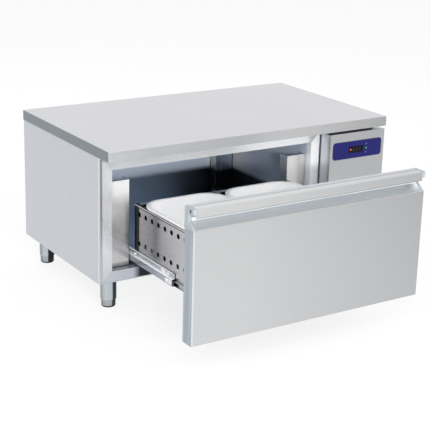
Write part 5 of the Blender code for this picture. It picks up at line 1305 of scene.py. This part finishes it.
# Painted shade: the rail darkens towards the right. Painted light takes its slope from dark at the front to
# light
# under the lip, and a painted shadow line runs along the bend under the lip.
tint(shader, remap(at["X"], low.x + SHADE_FROM, high.x), (0.60, 0.605, 0.62))
slope = remap(at["Y"], low.y + 0.0016, low.y + 0.0040)
slope = times(slope, remap(at["Z"], lip + 0.001, lip))
painted_slope_light = remap(at["Y"], low.y + 0.002, low.y + GRIP_DEPTH * 0.8)
tint(shader, slope, blend(painted_slope_light, (0.37, 0.40, 0.42), (0.85, 0.90, 0.94)))
dull(shader, slope, 0.7)
bend = remap(at["Z"], lip - 0.0020, lip - 0.0010)
bend = times(bend, remap(at["Z"], lip + 0.0030, lip + 0.0018))
tint(shader, bend, (0.16, 0.17, 0.18))
cap_grey, shader, place = moulded("cap_grey", (0.34, 0.375, 0.405), 0.42, 0.06, 800.0)
at = axes(place)
# Painted shade: a dark disc on each cap stands for the shade of a hole.
hole = (("Y", low.y + CAP_HOLE[0]), ("Z", high.z - CAP_HOLE[1]))
away = distance(*[calc("SUBTRACT", at[axis], middle) for axis, middle in hole])
tint(shader, remap(away, CAP_HOLE_RADIUS, CAP_HOLE_RADIUS - 0.0006), (0.03, 0.032, 0.036))
gasket_rubber = moulded("gasket_rubber", (0.19, 0.20, 0.21), 0.62, 0.15, 500.0)[0]
dress(front_steel, "drawer_front_skin")
dress(steel("inner_panel_steel", (0.60, 0.62, 0.66), 0.34, "X")[0], "drawer_inner_panel")
dress(cap_grey, "grip_cap_left", "grip_cap_right")

face = low.y + SHEET / 2
deep = face + GRIP_DEPTH
slope_top = lip - GRIP_MOUTH
lip_low = lip + SHEET / 2
rail = fold([
    (face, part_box("drawer_front_skin")[1].z + 0.0002),
    (face, slope_top - SLOPE_HEIGHT),
    (deep, slope_top),
    (deep, high.z - SHEET / 2),
    (face, high.z - SHEET / 2),
    (face, lip_low),
    (face + LIP_HEM, lip_low),
], BEND, SHEET, "X", low.x, high.x, 10)
piece("grip_rail_folded", rail, grip_steel, "drawer", "brushed_steel", "grip_rail")

low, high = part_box("drawer_gasket")
margin = (GASKET_BAND - max(across for across, _ in GASKET_PROFILE)) / 2
rings = []
for across, depth in GASKET_PROFILE:
    left, right = low.x + margin + across, high.x - margin - across
    below, above = low.z + margin + across, high.z - margin - across
    corners = ((left, below), (right, below), (right, above), (left, above))
    rings.append([(u, low.y + depth, v) for u, v in corners])
piece("door_gasket", shell(rings, True), gasket_rubber, "drawer", "gasket_rubber", "drawer_gasket")

# The worktop: stainless sheet over a foam core, its edges folded down and back under.
# The satin grain runs along its length.

FACE_FROM = 0.0007
FACE_TO = 0.0002

top_steel, shader, place = steel("worktop_steel", (0.645, 0.648, 0.672), 0.33, "X", cloud=0.03)
low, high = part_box("worktop")
at = axes(place)
# Painted reflection: the worktop's left end is dark, and its front edge is light at the left, fading darker
# to the right.
painted_dark_left_end = remap(at["X"], low.x + FACE_FROM, low.x + FACE_TO, 0.0, 0.95)
tint(shader, painted_dark_left_end, (0.20, 0.235, 0.26))
painted_front_edge = remap(at["Y"], low.y + FACE_FROM, low.y + FACE_TO)
painted_fade = remap(at["X"], low.x, high.x)
tint(shader, painted_front_edge, blend(painted_fade, (0.84, 0.84, 0.845), (0.44, 0.445, 0.45)))
dull(shader, painted_front_edge, 0.8)
dress(top_steel, "worktop")
